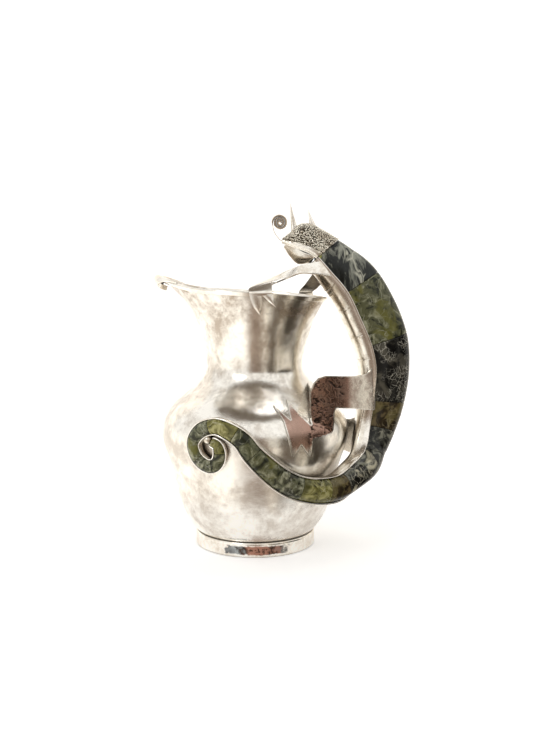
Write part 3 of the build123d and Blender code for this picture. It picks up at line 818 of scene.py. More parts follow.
def bodyRows():
    b, v = bodyLook, vesselLook
    startX = v["mouthRadius"] - 5.0
    startZ = v["rimHeight"] + b["neckAboveRim"]
    reach = v["bellyRadius"] + b["gap"] - startX
    fall = startZ - v["bellyHeight"]
    # share of the reach, turn, share of the fall, lean, width, stone height, belly depth
    handle = [
        (0.0, 0, 0.0, 46, 0.75, 28.0, 7.0),
        (0.192, 0, 0.080, 40.5, 0.8, 32.5, 9.0),
        (0.461, 0, 0.197, 32, 0.86, 37.3, 10.7),
        (0.667, 0, 0.350, 23, 0.93, 39.8, 10.2),
        (0.840, 0, 0.499, 12.7, 0.98, 39.0, 10.5),
        (0.909, 0, 0.624, 0, 1.0, 36.3, 10.0),
        (0.893, 0, 0.754, -3.5, 0.95, 35.0, 9.0),
        (0.862, 0.5, 0.872, -7, 0.87, 32.5, 8.0),
        (0.815, 3.0, 0.985, -13, 0.8, 28.5, 8.0),
        (0.762, 7.5, 1.092, -17, 0.75, 23.5, 8.5),
    ]
    rows = []
    for along, turn, down, lean, wide, high, deep in handle:
        x = startX + reach * along
        turned = math.radians(turn)
        out = (math.cos(turned), -math.sin(turned), math.sin(math.radians(lean)))
        sizes = (b["halfWidth"] * wide, high, deep, b["bezelRail"])
        rows.append([x, -x * math.sin(turned), startZ - fall * down, *out, *sizes])
    spiralZ = v["bellyHeight"] - b["spiralDrop"]
    # azimuth, height above the spiral's centre, gap to the vessel, half width, heights
    sweep = [
        (15.0, -25.5, 4.2, 13.4, 18.3, 9.2, 4.6),
        (26.0, -34.7, 1.8, 12.8, 13.2, 9.4, 4.6),
        (37.0, -40.3, 0.4, 12.0, 9.6, 9.2, 4.4),
        (51.5, -39.2, 0.0, 11.3, 7.8, 7.6, 4.2),
        (63.5, -34.7, 0.0, 10.8, 7.0, 6.2, 4.0),
        (73.0, -27.7, 0.0, 10.6, 6.6, 5.6, 3.8),
        (82.3, -16.3, 0.0, 10.0, 6.2, 5.0, 3.6),
        (90.2, -3.9, 0.0, 9.2, 6.0, 4.6, 3.4),
        (96.0, 7.9, 0.0, 8.5, 5.7, 4.4, 3.2),
        (103.8, 15.6, 0.0, 7.8, 5.5, 4.3, 3.1),
    ]
    for azimuth, above, gap, wide, high, deep, rail in sweep:
        rows.append(tailRow(math.radians(azimuth), spiralZ + above, gap, wide, high, deep, rail))
    # distance along the side from the spiral's centre, height above it, half width, heights
    spiral = [
        (7.6, 18.4, 7.2, 5.4, 4.2, 3.0),
        (-4.5, 14.4, 7.0, 5.3, 4.1, 2.9),
        (-12.0, 4.0, 6.7, 5.2, 4.0, 2.9),
        (-9.0, -7.5, 6.5, 5.1, 3.9, 2.8),
        (-1.0, -14.6, 6.3, 5.0, 3.8, 2.7),
        (6.5, -14.4, 6.2, 4.9, 3.7, 2.7),
        (11.2, -9.2, 6.1, 4.8, 3.6, 2.6),
        (12.0, -2.4, 5.8, 4.6, 3.5, 2.5),
        (9.6, 3.0, 5.2, 4.2, 3.4, 2.3),
        (4.6, 5.2, 4.4, 3.8, 3.2, 2.0),
    ]
    size = b["spiralRadius"] / 20.0
    arm = v["bellyRadius"] + 4.2
    for right, above, wide, high, deep, rail in spiral:
        azimuth = math.radians(b["spiralAzimuth"]) - right * size / arm
        rows.append(tailRow(azimuth, spiralZ + above * size, 0.0, wide * size, high, deep, rail))
    return rows


bodyRoute = bodyRows()
bodyEnd = len(bodyRoute) - 1


# A place along the body with its own axes and sizes, in millimetres
class Station:

    def __init__(self, u):
        row = through(bodyRoute, u)
        self.centre = Vector(row[0:3])
        ahead, behind = through(bodyRoute, min(u + 0.02, bodyEnd)), through(bodyRoute, max(u - 0.02, 0))
        self.along = (Vector(ahead[0:3]) - Vector(behind[0:3])).normalized()
        out = Vector(row[3:6])
        self.out = (out - self.along * out.dot(self.along)).normalized()
        self.side = self.out.cross(self.along).normalized()
        self.half, self.high, self.deep, self.rail = row[6:10]

    def at(self, across, up):
        return self.centre + self.side * across + self.out * up


def archRow(station, half, height, base, fullness, count=28):
    row = []
    for k in range(count + 1):
        angle = math.pi * k / count
        across = half * abs(math.cos(angle)) ** (2 / fullness) * (1 if math.cos(angle) >= 0 else -1)
        row.append(station.at(across, base + height * abs(math.sin(angle)) ** (2 / fullness)))
    return row


# Places along the body about a spacing apart in millimetres, closer near both ends
def placesAlong(start, stop, spacing=1.2):
    length = sum((Station(start + (stop - start) * (k + 1) / 40).centre
                  - Station(start + (stop - start) * k / 40).centre).length for k in range(40))
    count = max(6, int(length / spacing))
    inner = [k / count for k in range(1, count)]
    edge = [0, 0.12 / length, 0.3 / length, 0.6 / length]
    near = 0.9 / length
    shares = edge + [s for s in inner if near < s < 1 - near] + [1 - e for e in reversed(edge)]
    return [(start + (stop - start) * s, length * s, length) for s in shares]


# How far a rounded edge falls at a distance in from it
def edgeDrop(distance, bevel):
    if distance >= bevel:
        return 0.0
    return bevel * (1 - math.sqrt(max(0.0, 1 - (1 - distance / bevel) ** 2)))


def makeStoneTile(name, start, stop):
    outer, inner = [], []
    for u, along, length in placesAlong(start, stop):
        s = Station(u)
        gap = bodyLook["jointGap"]
        drop = edgeDrop(min(along, length - along), bodyLook["stoneBevel"])
        half = s.half - bodyLook["bezelWall"] - 0.1 - drop
        wall = min(bodyLook["stoneWall"], 0.5 * s.high)
        shift = s.along * (gap if along < length / 2 else -gap)
        roundness = bodyLook["roundness"]
        outer.append([p + shift for p in archRow(s, half, s.high - drop, 0.1, roundness)])
        inner.append([p + shift for p in archRow(s, half - wall + drop, s.high - wall, 0.1, roundness)])
    return wallPiece(name, outer, inner)


def makeBackShell():
    b = bodyLook
    steps, count, lift, clear = 260, 16, 0.3, 0.2
    outer, inner = [], []
    for k in range(steps):
        s = Station(bodyEnd * k / (steps - 1))
        wall = min(b["backingDepth"], 0.5 * s.high) + clear
        half, high = s.half - b["bezelWall"] - wall, s.high - wall
        outer.append(archRow(s, half, high, lift, b["roundness"], count))
        inside = (half - b["backingWall"], high - b["backingWall"])
        inner.append(archRow(s, *inside, lift, b["roundness"], count))
    return wallPiece("backShell", outer, inner)


# One belly plate: it swells a little and turns out at its lower edge
def makePlate(name, start, stop):
    outer, inner = [], []
    for u, along, length in placesAlong(start, stop):
        s = Station(u)
        share = along / length
        swell = 0.25 * math.sin(math.pi * share) + 0.55 * smoothStep(0.9, 0.985, share)
        swell -= edgeDrop(length - along, 0.5) * 0.8 + 0.35 * (1 - smoothStep(0.0, 0.05, share))
        half, deep = s.half + 0.5 * swell, s.deep + swell
        wall, roundness = bodyLook["plateWall"], bodyLook["roundness"]
        outer.append(archRow(s, half, -deep, 0, roundness))
        inner.append(archRow(s, half - wall, -deep + wall, 0, roundness))
    return wallPiece(name, outer, inner)


def makeChannel(start):
    outer, inner = [], []
    steps, wall = 300, bodyLook["plateWall"]
    for k in range(steps):
        u = start + (bodyEnd - start) * k / (steps - 1)
        s = Station(u)
        fullness = bodyLook["roundness"] + 1.1 * smoothStep(start, start + 3, u)  # squarer along the tail
        outer.append(archRow(s, s.half, -s.deep, 0, fullness))
        inner.append(archRow(s, s.half - wall, -s.deep + wall, 0, fullness))
    return wallPiece("tailChannel", outer, inner)


# A strip beside the stones: a flat wall with a rounded, slightly rolled upper edge
def makeBezel(name, side):
    rings = []
    steps, wall = 420, bodyLook["bezelWall"]
    for k in range(steps):
        s = Station(bodyEnd * k / (steps - 1))
        rail = s.rail
        outline = [(0, 0.05), (0.0, rail * 0.62), (0.12, rail * 0.70), (0.0, rail * 0.78), (0.1, rail * 0.86),
                   (0.06, rail * 0.94), (-0.15, rail), (-wall * 0.6, rail + 0.1), (-wall, rail - 0.1),
                   (-wall, rail * 0.5), (-wall, 0.05)]
        rings.append([s.at(side * (s.half + out), up) for out, up in outline])
    return solidPiece(name, rings, 50)


plateEnds = [0.0, 1.5, 2.5, 3.5, 4.5, 5.5]
for number in range(len(plateEnds) - 1):
    piece = makePlate(f"bellyPlate{number + 1}", plateEnds[number], plateEnds[number + 1])
    place(piece, plateSilver, f"belly_plate_{number + 1}")
channel = makeChannel(plateEnds[-1] + 0.02)
roundEdges(channel, 0.25)
place(channel, plateSilver, "tail_channel")
place(makeBezel("bezelNear", -1), bezelSilver, "bezel_near")
place(makeBezel("bezelFar", 1), bezelSilver, "bezel_far")
place(makeBackShell(), plateSilver, "back_shell")
print("belly, channel and bezels made")

stoneEnds = [0, 2, 4, 6.5, 8, 9.5, 11.5, 12.5, 14, 15.5, 17, 18.5, 20.4, 21.8, 23.2, 24.8, 26.8, bodyEnd]
stoneSlots = {row["node"]: row["material_slot"] for row in frame["record"]["subparts"]}
for number in range(len(stoneEnds) - 1):
    node = f"stone_{number + 1:02d}"
    piece = makeStoneTile(f"stone{number + 1:02d}", stoneEnds[number], stoneEnds[number + 1])
    place(piece, stoneKinds[stoneSlots[node]], node)
print("stones set")


headLook = {
    "grain": 0.66,
    "spacing": 1.42,
    "seed": 7,
    "lowestGrain": -44,
    "bandAngle": -36,
    "eyeRadius": 2.3,
    "hornFront": (-17.0, 28.5, -21.1, 50.5, 3.4),  # foot and tip from the neck, then half width
    "hornRear": (0.5, 29.5, -5.5, 45.0, 3.9),
    "jaw": [(0.4, 4.6, -2.6, -1.8, 11.0), (-8.5, 8.4, -13.8, -3.0, 9.8), (-17.0, 12.6, -21.4, 3.4, 7.4),
            (-25.4, 16.2, -27.0, 11.4, 4.2)],  # upper and lower edge from the neck, then half width
}
neckX = vesselLook["mouthRadius"] - 5.0
neckZ = vesselLook["rimHeight"] + bodyLook["neckAboveRim"]


# Crown and lip points and half width, from the neck to the snout
def headRows():
    s = Station(0)
    top, bottom = s.at(0, s.high), s.at(0, 0.5)
    return [
        (top.x - 0.3, top.z + 0.3, bottom.x - 0.2, bottom.z + 0.2, 14.2),
        (neckX + 6.5, neckZ + 27.0, neckX - 0.3, neckZ + 3.0, 14.0),
        (neckX - 3.0, neckZ + 31.5, neckX - 6.0, neckZ + 6.5, 12.8),
        (neckX - 13.0, neckZ + 30.8, neckX - 15.0, neckZ + 10.8, 10.0),
        (neckX - 21.0, neckZ + 24.5, neckX - 22.5, neckZ + 14.2, 7.0),
        (neckX - 28.0, neckZ + 19.3, neckX - 28.6, neckZ + 17.2, 3.5),
    ]


crown = headRows()


# A point of the head's skin; angle 0 is the near lip and 90 the crest, in degrees
def onHead(u, angle, out=0.0):
    topX, topZ, lowX, lowZ, half = through(crown, u)
    top, low = Vector((topX, 0, topZ)), Vector((lowX, 0, lowZ))
    turn = math.radians(angle)
    centre = (top + low) / 2
    up = (top - low) / 2
    across = math.cos(turn) * half
    brow = 1.0 + 0.07 * math.exp(-((u - 3.0) / 0.5) ** 2) * max(0.0, math.sin(turn)) ** 2
    point = centre + up * (math.sin(turn) * brow) + Vector((0, -across, 0))
    if out:
        normal = Vector((0, -math.cos(turn) / half, 0))
        normal += up.normalized() * (math.sin(turn) / max(up.length, 1))
        point += normal.normalized() * out
    return point


def makeHeadSkin():
    rings = []
    for k in range(61):
        u = 5 * k / 60
        rings.append([onHead(u, 360 * j / 56) for j in range(56)])
    return solidPiece("headSkin", rings, 60)


# Round and drawn-out grains of silver soldered close together over the head
def makeGrains():
    chance = random.Random(headLook["seed"])
    lowest = headLook["lowestGrain"]
    ball = bmesh.new()
    bmesh.ops.create_icosphere(ball, subdivisions=1, radius=1.0)
    ball.verts.index_update()
    form = [v.co.copy() for v in ball.verts]
    sides = [tuple(v.index for v in f.verts) for f in ball.faces]
    ball.free()
    points, faces = [], []
    u = 0.05
    while u < 4.97:
        here, there = onHead(u, 90), onHead(min(u + 0.05, 5), 90)
        pace = (there - here).length / 0.05
        ring = [onHead(u, a) for a in range(lowest, 181 - lowest, 6)]
        girth = sum((b - a).length for a, b in zip(ring, ring[1:]))
        count = max(4, int(girth / headLook["spacing"]))
        for k in range(count):
            angle = lowest + (180 - 2 * lowest) * (k + chance.random() * 0.8) / count
            seat = u + chance.uniform(-0.4, 0.4) * headLook["spacing"] / pace
            size = headLook["grain"] * chance.uniform(0.7, 1.25) * (1 - 0.3 * smoothStep(4.2, 5, u))
            centre = onHead(min(max(seat, 0.02), 4.98), angle, size * 0.35)
            turn = chance.uniform(0, math.pi)
            long = 1.0 if chance.random() < 0.55 else chance.uniform(1.3, 2.1)
            first = Vector((math.cos(turn), 0.3 * math.sin(turn), math.sin(turn))).normalized()
            for p in form:
                stretched = p + first * p.dot(first) * (long - 1)
                points.append(centre + stretched * size)
            start = len(points) - len(form)
            faces += [tuple(start + i for i in side) for side in sides]
        u += headLook["spacing"] * 0.92 / pace
    return meshPiece("headGrains", points, faces, 80)


# The smooth band that hangs along the upper lip, on one side
def makeLipBand(side):
    outer, inner = [], []
    for k in range(61):
        u = 0.42 + 4.5 * k / 60
        drop = 2.2 + 2.6 * (1 - smoothStep(2.6, 4.9, u))
        low = onHead(u, headLook["bandAngle"] if side < 0 else 180 - headLook["bandAngle"])
        down = Vector((-0.42, 0, -0.91))
        front, back = [], []
        for j in range(9):
            t = j / 8
            tuck = 0.9 * t * t
            out = 0.7 + 0.35 * math.sin(math.pi * min(1, t * 1.15))
            edge = low + down * (drop * t - 0.9 * (1 - t)) + Vector((0, side * (out - tuck), 0))
            front.append(edge)
            back.append(edge - Vector((0, side * 1.0, 0)))
        outer.append(front)
        inner.append(back)
    return wallPiece("lipBand", outer, inner, 50)


def makeJaw():
    jaw = [(neckX + a, neckZ + b, neckX + c, neckZ + d, half) for a, b, c, d, half in headLook["jaw"]]
    rings = []
    for k in range(41):
        topX, topZ, lowX, lowZ, half = through(jaw, 3 * k / 40)
        ring = []
        for j in range(40):
            turn = 2 * math.pi * j / 40
            up = math.sin(turn)
            up = 0.72 + 0.28 * up if up > 0 else up + 0.72 * (1 + up)  # flat above, round below
            centre = Vector(((topX + lowX) / 2, -half * math.cos(turn), (topZ + lowZ) / 2))
            ring.append(centre + Vector((topX - lowX, 0, topZ - lowZ)) / 2 * up)
        rings.append(ring)
    return solidPiece("jaw", rings, 40)


def makeHorn(name):
    baseX, baseZ, tipX, tipZ, half = headLook[name]
    rings = []
    for k in range(25):
        t = k / 24
        x = neckX + baseX + (tipX - baseX) * t ** 0.85
        z = neckZ + baseZ - 3.5 + (tipZ - baseZ + 3.5) * t
        size = max(half * (1 - t) ** 0.9, 0.22)
        ring = []
        for j in range(20):
            turn = 2 * math.pi * j / 20
            ring.append(Vector((x + size * math.cos(turn), size * 0.62 * math.sin(turn), z)))
        rings.append(ring)
    return solidPiece(name, rings, 50)


def makeEye(name, side):
    return ballPiece(name, onHead(2.75, 38 if side < 0 else 142, 0.6), headLook["eyeRadius"], 28, 18)


tongueLook = {"width": 4.6, "wall": 2.1, "linkWall": 0.9, "turns": 2.6, "radius": 7.9}


# A strip that leaves the mouth and ends in a close scroll; its edges are narrower than its middle
def makeTongue():
    t = tongueLook
    centre = Vector((neckX - 30.5, 0, neckZ + 33.5))
    path = [Vector((neckX - 27.0, 0, neckZ + 16.4)), Vector((neckX - 31.0, 0, neckZ + 19.0)),
            Vector((neckX - 35.4, 0, neckZ + 25.0))]
    for step in range(150):
        share = step / 149
        angle = math.radians(205) - 2 * math.pi * t["turns"] * share
        radius = (t["radius"] - 1.0) * (1 - 0.9 * share)
        path.append(centre + Vector((radius * math.cos(angle), 0, radius * math.sin(angle))))
    fine = [Vector(through([tuple(p) for p in path], i * 0.5)) for i in range(2 * len(path) - 1)]
    section = [(0.42, -1), (-0.42, -1), (-0.62, -0.85), (-1.04, -0.5), (-1.04, 0.5), (-0.62, 0.85),
               (-0.42, 1), (0.42, 1), (0.62, 0.85), (1.04, 0.5), (1.04, -0.5), (0.62, -0.85)]
    rings = []
    for k, p in enumerate(fine):
        ahead, behind = fine[min(k + 1, len(fine) - 1)], fine[max(k - 1, 0)]
        along = (ahead - behind).normalized()
        wall = t["linkWall"] + (t["wall"] - t["linkWall"]) * smoothStep(5, 26, k)
        across = Vector((-along.z, 0, along.x)) * (wall / 2)
        half = Vector((0, t["width"] / 2, 0))
        rings.append([p + across * a + half * b for a, b in section])
    return solidPiece("tongue", rings, 40)


place(makeHeadSkin(), blackenedSilver, "head_shell")
place(makeGrains(), grainSilver, "head_shell")
place(joined("lipBands", [makeLipBand(-1), makeLipBand(1)]), sheetSilver, "head_shell")
place(makeJaw(), plateSilver, "jaw")
place(makeHorn("hornFront"), sheetSilver, "horn_front")
place(makeHorn("hornRear"), sheetSilver, "horn_rear")
place(makeEye("eyeNear", -1), oxidisedSilver, "eye_near")
place(makeEye("eyeFar", 1), oxidisedSilver, "eye_far")
place(makeTongue(), bezelSilver, "tongue")
print("head made")


legLook = {
    "wall": 1.4,
    "edgeRound": 0.35,
    "cell": 0.6,
    "chaseDepth": 0.35,
    "chaseReach": 31.0,
    # brightEdge is the width of the painted edge highlight, in millimetres
    "brightEdge": 0.9,
}
handleReach = vesselLook["bellyRadius"] + bodyLook["gap"]


# A flat outline cut into small cells; gives its points and its faces
def outlineCells(outline, cell):
    work = bmesh.new()
    work.faces.new([work.verts.new((x, 0, z)) for x, z in outline])
    for axis in (0, 2):
        low = min(v.co[axis] for v in work.verts)
        high = max(v.co[axis] for v in work.verts)
        count = int((high - low) / cell)
        normal = Vector((axis == 0, 0, axis == 2))
        for k in range(1, count):
            cutAt = normal * (low + (high - low) * k / count)
            bmesh.ops.bisect_plane(work, geom=work.verts[:] + work.edges[:] + work.faces[:], dist=1e-4,
                                   plane_co=cutAt, plane_no=normal)
    bmesh.ops.triangulate(work, faces=[f for f in work.faces if len(f.verts) > 4])
    work.verts.index_update()
    points = [(v.co.x, v.co.z) for v in work.verts]
    faces = [[v.index for v in f.verts] for f in work.faces]
    edges = [[v.index for v in e.verts] for e in work.edges if e.is_boundary]
    work.free()
    return points, faces, edges


# The outline with each corner rounded a little
def roundedOutline(corners, radius=1.0, steps=4):
    result = []
    for k, corner in enumerate(corners):
        here = Vector(corner)
        before, after = Vector(corners[k - 1]), Vector(corners[(k + 1) % len(corners)])
        first = (before - here).normalized() * min(radius, (before - here).length * 0.4)
        second = (after - here).normalized() * min(radius, (after - here).length * 0.4)
        for step in range(steps + 1):
            t = step / steps
            result.append(tuple(here + first * (1 - t) ** 2 + second * t ** 2))
    return result


# Distance from a flat point to an outline
def edgeDistance(point, outline):
    best = 1e9
    p = Vector(point)
    for k in range(len(outline)):
        a, b = Vector(outline[k - 1]), Vector(outline[k])
        span = b - a
        t = min(max((p - a).dot(span) / max(span.length_squared, 1e-9), 0), 1)
        best = min(best, (p - a - span * t).length)
    return best


# A cut sheet: front and back give its two faces for a flat point, cut the depth of chasing
def sheetPiece(name, outline, front, back, cut, toeAt):
    flat, faces, edges = outlineCells(outline, legLook["cell"])
    count = len(flat)
    marks, paintedHighlight, points = [], [], []
    for p in flat:
        d = edgeDistance(p, outline)
        mark = cut(p) * smoothStep(0.6, 1.4, d)
        marks.append(mark)
        # painted highlight along the edges and on the toe tips
        paintedHighlight.append(max(toeAt(p), 1 - smoothStep(legLook["brightEdge"] * 0.5, legLook["brightEdge"], d)))
        inward = (back(p) - front(p)).normalized()
        points.append(front(p) + inward * (mark * legLook["chaseDepth"]))
    points += [back(p) for p in flat]
    solid = [list(f) for f in faces] + [[i + count for i in reversed(f)] for f in faces]
    solid += [[a, b, b + count, a + count] for a, b in edges]
    mesh = bpy.data.meshes.new(name)
    mesh.from_pydata([p * mm for p in points], [], solid)
    for label, values in (("chased", marks + [0.0] * count), ("worn", paintedHighlight + [1.0] * count)):
        layer = mesh.attributes.new(label, "FLOAT", "POINT")
        layer.data.foreach_set("value", values)
    work = bmesh.new()
    work.from_mesh(mesh)
    bmesh.ops.recalc_face_normals(work, faces=work.faces)
    work.to_mesh(mesh)
    work.free()
    mesh.polygons.foreach_set("use_smooth", [True] * len(mesh.polygons))
    mesh.set_sharp_from_angle(angle=math.radians(50))
    piece = bpy.data.objects.new(name, mesh)
    bpy.context.scene.collection.objects.link(piece)
    return piece


# Short winding cuts made with a punch, running more across the shin lower down
def chasing(p):
    x, z = p
    lower = 1 - smoothStep(118, 138, z)
    warp = noise.noise(Vector((x * 0.17, z * 0.17, 4.0))) * 1.3
    winding = noise.noise(Vector((x * (0.30 - 0.13 * lower) + warp, z * (0.30 + 0.16 * lower) - warp, 1.7)))
    gaps = noise.noise(Vector((x * 0.36, z * 0.36, 9.1)))
    line = 1 - smoothStep(0.06, 0.2, abs(winding))
    return line * smoothStep(-0.34, -0.16, gaps)


# Thigh, shin and foot in one sheet, which leaves the handle, bends round and lies on the shoulder
def makeRearLeg(name, side, drop, shift):
    reach = handleReach - 3.4 + shift
    top = vesselLook["neckHeight"] - drop
    plan = [(reach + 9, 12.0), (reach, 17.4), (reach - 13, 30), (reach - 26.5, 43.5), (reach - 38, 53),
            (reach - 48, 59), (reach - 60, 64.5), (reach - 72, 68.5)]
    dense = [through(plan, 7 * k / 160) for k in range(161)]

    def across(x):
        for (x0, y0), (x1, y1) in zip(dense, dense[1:]):
            if x1 <= x <= x0:
                return y0 + (y1 - y0) * (x0 - x) / max(x0 - x1, 1e-6)
        return dense[0][1] if x > dense[0][0] else dense[-1][1]

    outline = [(1.5, 3.2), (-0.6, 2.4), (-3.4, -2.4), (-8.0, -5.0), (-20.0, -5.4), (-34.0, -3.9),
               (-45.0, -2.8), (-50.6, -4.2), (-54.6, -8.2), (-57.5, -14.0), (-58.6, -21.0), (-58.2, -31.0),
               (-56.8, -43.0), (-66.0, -34.5), (-77.0, -22.6), (-73.6, -38.0), (-88.5, -26.0),
               (-79.5, -38.5), (-74.5, -55.0), (-72.0, -68.5), (-65.0, -58.0), (-57.5, -69.5),
               (-55.5, -54.4), (-48.0, -53.6), (-40.0, -52.4), (-37.8, -49.5), (-37.0, -33.5),
               (-35.5, -31.0), (-20.0, -33.6), (-6.0, -36.8), (1.5, -38.2)]
    outline = [(reach + x, top + z) for x, z in outline]
    tips = [outline[14], outline[16], outline[19], outline[21]]

    def toeAt(p):
        return 1 - smoothStep(2, 11, min((Vector(p) - Vector(t)).length for t in tips))

    def onSheet(p, out):
        x, z = p
        radius = sideRadius(z)[0] + 0.05 + out + 0.6 * toeAt(p)
        lying = math.sqrt(max(radius ** 2 - x ** 2, 1))
        if x < reach - 57:
            return Vector((x, side * lying, z))
        slope = (across(x + 0.6) - across(x - 0.6)) / 1.2
        normal = Vector((-slope, 1, 0)).normalized()
        point = Vector((x, across(x), z)) + normal * out
        return Vector((point.x, side * max(point.y, lying), z))

    def cut(p):
        if p[0] > reach - legLook["chaseReach"] + 2.5 * math.sin(p[1] * 0.9) or p[0] < reach - 58.5:
            return 0.0
        return chasing(p)

    return sheetPiece(name, roundedOutline(outline, 0.8), lambda p: onSheet(p, legLook["wall"]),
                      lambda p: onSheet(p, 0.0), cut, toeAt)


# A bent strip from the shoulder to the rim, with claws that hang over it
def makeFrontLeg(name, edges, side, claws, bend):
    wall = legLook["wall"]
    outer, inner, rowPoints = [], [], []
    steps = 80
    for k in range(steps + 1):
        values = through([(*a, *b) for a, b in edges], (len(edges) - 1) * k / steps)
        rowPoints.append((Vector(values[0:3]), Vector(values[3:6])))
    for k, (left, right) in enumerate(rowPoints):
        ahead, behind = rowPoints[min(k + 1, steps)], rowPoints[max(k - 1, 0)]
        along = ((ahead[0] + ahead[1]) - (behind[0] + behind[1])).normalized()
        normal = along.cross(right - left).normalized()
        front, rear = [], []
        for j in range(15):
            t = j / 14
            arch = bend * math.sin(math.pi * t) ** 0.7
            middle = left.lerp(right, t) + normal * (arch * side)
            front.append(middle + normal * (wall / 2 * side))
            rear.append(middle - normal * (wall / 2 * side))
        outer.append(front)
        inner.append(rear)
    parts = [wallPiece(name + "Strip", outer, inner, 50)]
    for number, claw in enumerate(claws):
        outer, inner = [], []
        for k in range(25):
            leftX, rightX, y, z = through(claw, (len(claw) - 1) * k / 24)
            front, rear = [], []
            for j in range(9):
                t = j / 8
                bulge = 0.5 * math.sin(math.pi * t)
                front.append(Vector((leftX + (rightX - leftX) * t, y - side * (wall / 2 + bulge), z)))
                rear.append(Vector((leftX + (rightX - leftX) * t, y + side * (wall / 2 - bulge * 0.5), z)))
            outer.append(front)
            inner.append(rear)
        parts.append(wallPiece(f"{name}Claw{number}", outer, inner, 50))
    return joined(name, parts)


def nearLeg():
    x, z = vesselLook["mouthRadius"], vesselLook["rimHeight"]
    edge = -(x + 2.2 + 0.9)
    edges = [
        ((x - 0.5, -16.6, z + 25.6), (x + 8.5, -17.2, z + 12.5)),
        ((x - 11.5, -24, z + 23.4), (x - 7.5, -26, z + 14.6)),
        ((x - 23.5, -35, z + 19.8), (x - 18.5, -38, z + 15.0)),
        ((x - 39.5, -46, z + 12.8), (x - 29.5, -50, z + 11.2)),
        ((x - 53.5, -53.5, z + 6.8), (x - 37.5, -56, z + 8.2)),
        ((x - 61.5, edge + 2.4, z + 2.6), (x - 42.5, edge + 2.6, z + 5.6)),
        ((x - 61.4, edge - 0.9, z - 0.6), (x - 42.4, edge - 0.9, z - 0.2)),
        ((x - 61.2, edge - 1.1, z - 3.4), (x - 42.2, edge - 1.1, z - 2.8)),
    ]
    claws = [
        [(x - 61.5, x - 52.2, edge - 1.1, z - 1.6), (x - 60.3, x - 51.0, edge - 1.5, z - 6.6),
         (x - 57.6, x - 51.0, edge - 1.5, z - 13.0), (x - 53.3, x - 52.7, edge - 0.4, z - 18.5)],
        [(x - 51.8, x - 42.3, edge - 1.1, z - 1.6), (x - 48.4, x - 41.4, edge - 1.5, z - 5.2),
         (x - 44.2, x - 40.3, edge - 1.5, z - 9.2), (x - 39.7, x - 39.3, edge - 0.6, z - 12.7)],
    ]
    return makeFrontLeg("frontLegNear", edges, 1, claws, 0.6)


def farLeg():
    x, z = vesselLook["mouthRadius"], vesselLook["rimHeight"]
    edges = [
        ((x - 0.5, 16.6, z + 22.0), (x + 8.5, 17.2, z + 11.5)),
        ((x - 4.5, 25.0, z + 15.5), (x + 4.0, 26.5, z + 6.5)),
        ((x - 11.0, 35.5, z + 6.0), (x - 0.5, 33.0, z + 1.5)),
        ((x - 16.0, 45.2, z - 0.6), (x - 4.0, 37.5, z - 1.6)),
        ((x - 16.5, 48.6, z - 6.5), (x - 4.0, 40.5, z - 7.0)),
        ((x - 15.0, 47.6, z - 14.5), (x - 9.0, 44.0, z - 14.5)),
    ]
    return makeFrontLeg("frontLegFar", edges, -1, [], 0.4)


def makeTailTip():
    tip = Station(bodyEnd)
    centre = tip.centre + tip.along * (tip.half * 0.85 + 0.1) + tip.out * 0.6
    return ballPiece("tailTip", centre, tip.half * 0.85, 32, 20)


for piece, node, finish in (
        (makeRearLeg("rearLegNear", -1, 0.0, 0.0), "rear_leg_near", chasedSilver),
        (makeRearLeg("rearLegFar", 1, 48.0, -8.0), "rear_leg_far", chasedSilver),
        (nearLeg(), "front_leg_near", sheetSilver),
        (farLeg(), "front_leg_far", sheetSilver),
        (makeTailTip(), "tail_tip", plateSilver)):
    if "Leg" in piece.name:
        roundEdges(piece, legLook["edgeRound"], 3, 50)
    place(piece, finish, node)
print("legs and tail tip made")


stageLook = {
    "distance": 785,
    "height": 240,
    "aside": 10.2,
    "pitch": 6.24,
    "lens": 42.27,
    "surround": 1.05,
    "floorGlow": 0.34,
    "roomColours": [
        (0.44, (1.0, 0.98, 0.94)), (0.47, (0.34, 0.27, 0.22)), (0.53, (0.22, 0.16, 0.12)),
        (0.56, (0.95, 0.90, 0.80)), (0.58, (0.16, 0.13, 0.10)), (0.63, (0.07, 0.055, 0.04)),
        (0.65, (0.75, 0.69, 0.58)), (0.67, (0.02, 0.014, 0.006)), (0.74, (0.03, 0.02, 0.01)),
        (0.77, (0.85, 0.81, 0.75)), (0.88, (0.8, 0.77, 0.72)), (0.95, (1.0, 0.98, 0.95))],  # share of a turn
    "paleAir": (1.0, 0.985, 0.955, 1),
    "overheadColour": (0.16, 0.13, 0.10, 1),
}
lightLook = {
    "keyLight": {"location": (-1.1, -1.3, 1.5), "target": (0, 0, 0.12), "size": (0.6, 0.8), "power": 5},
    "topLight": {"location": (0.2, 0.2, 1.9), "target": (0, 0, 0.1), "size": (0.9, 0.7), "power": 4},
}


def makeCamera():
    s = stageLook
    data = bpy.data.cameras.new("camera")
    data.sensor_width = 36
    data.lens = s["lens"]
    camera = bpy.data.objects.new("camera", data)
    camera.location = Vector((s["aside"], -s["distance"], s["height"])) * mm
    camera.rotation_euler = (math.radians(90 - s["pitch"]), 0, 0)
    bpy.context.scene.collection.objects.link(camera)
    bpy.context.scene.camera = camera


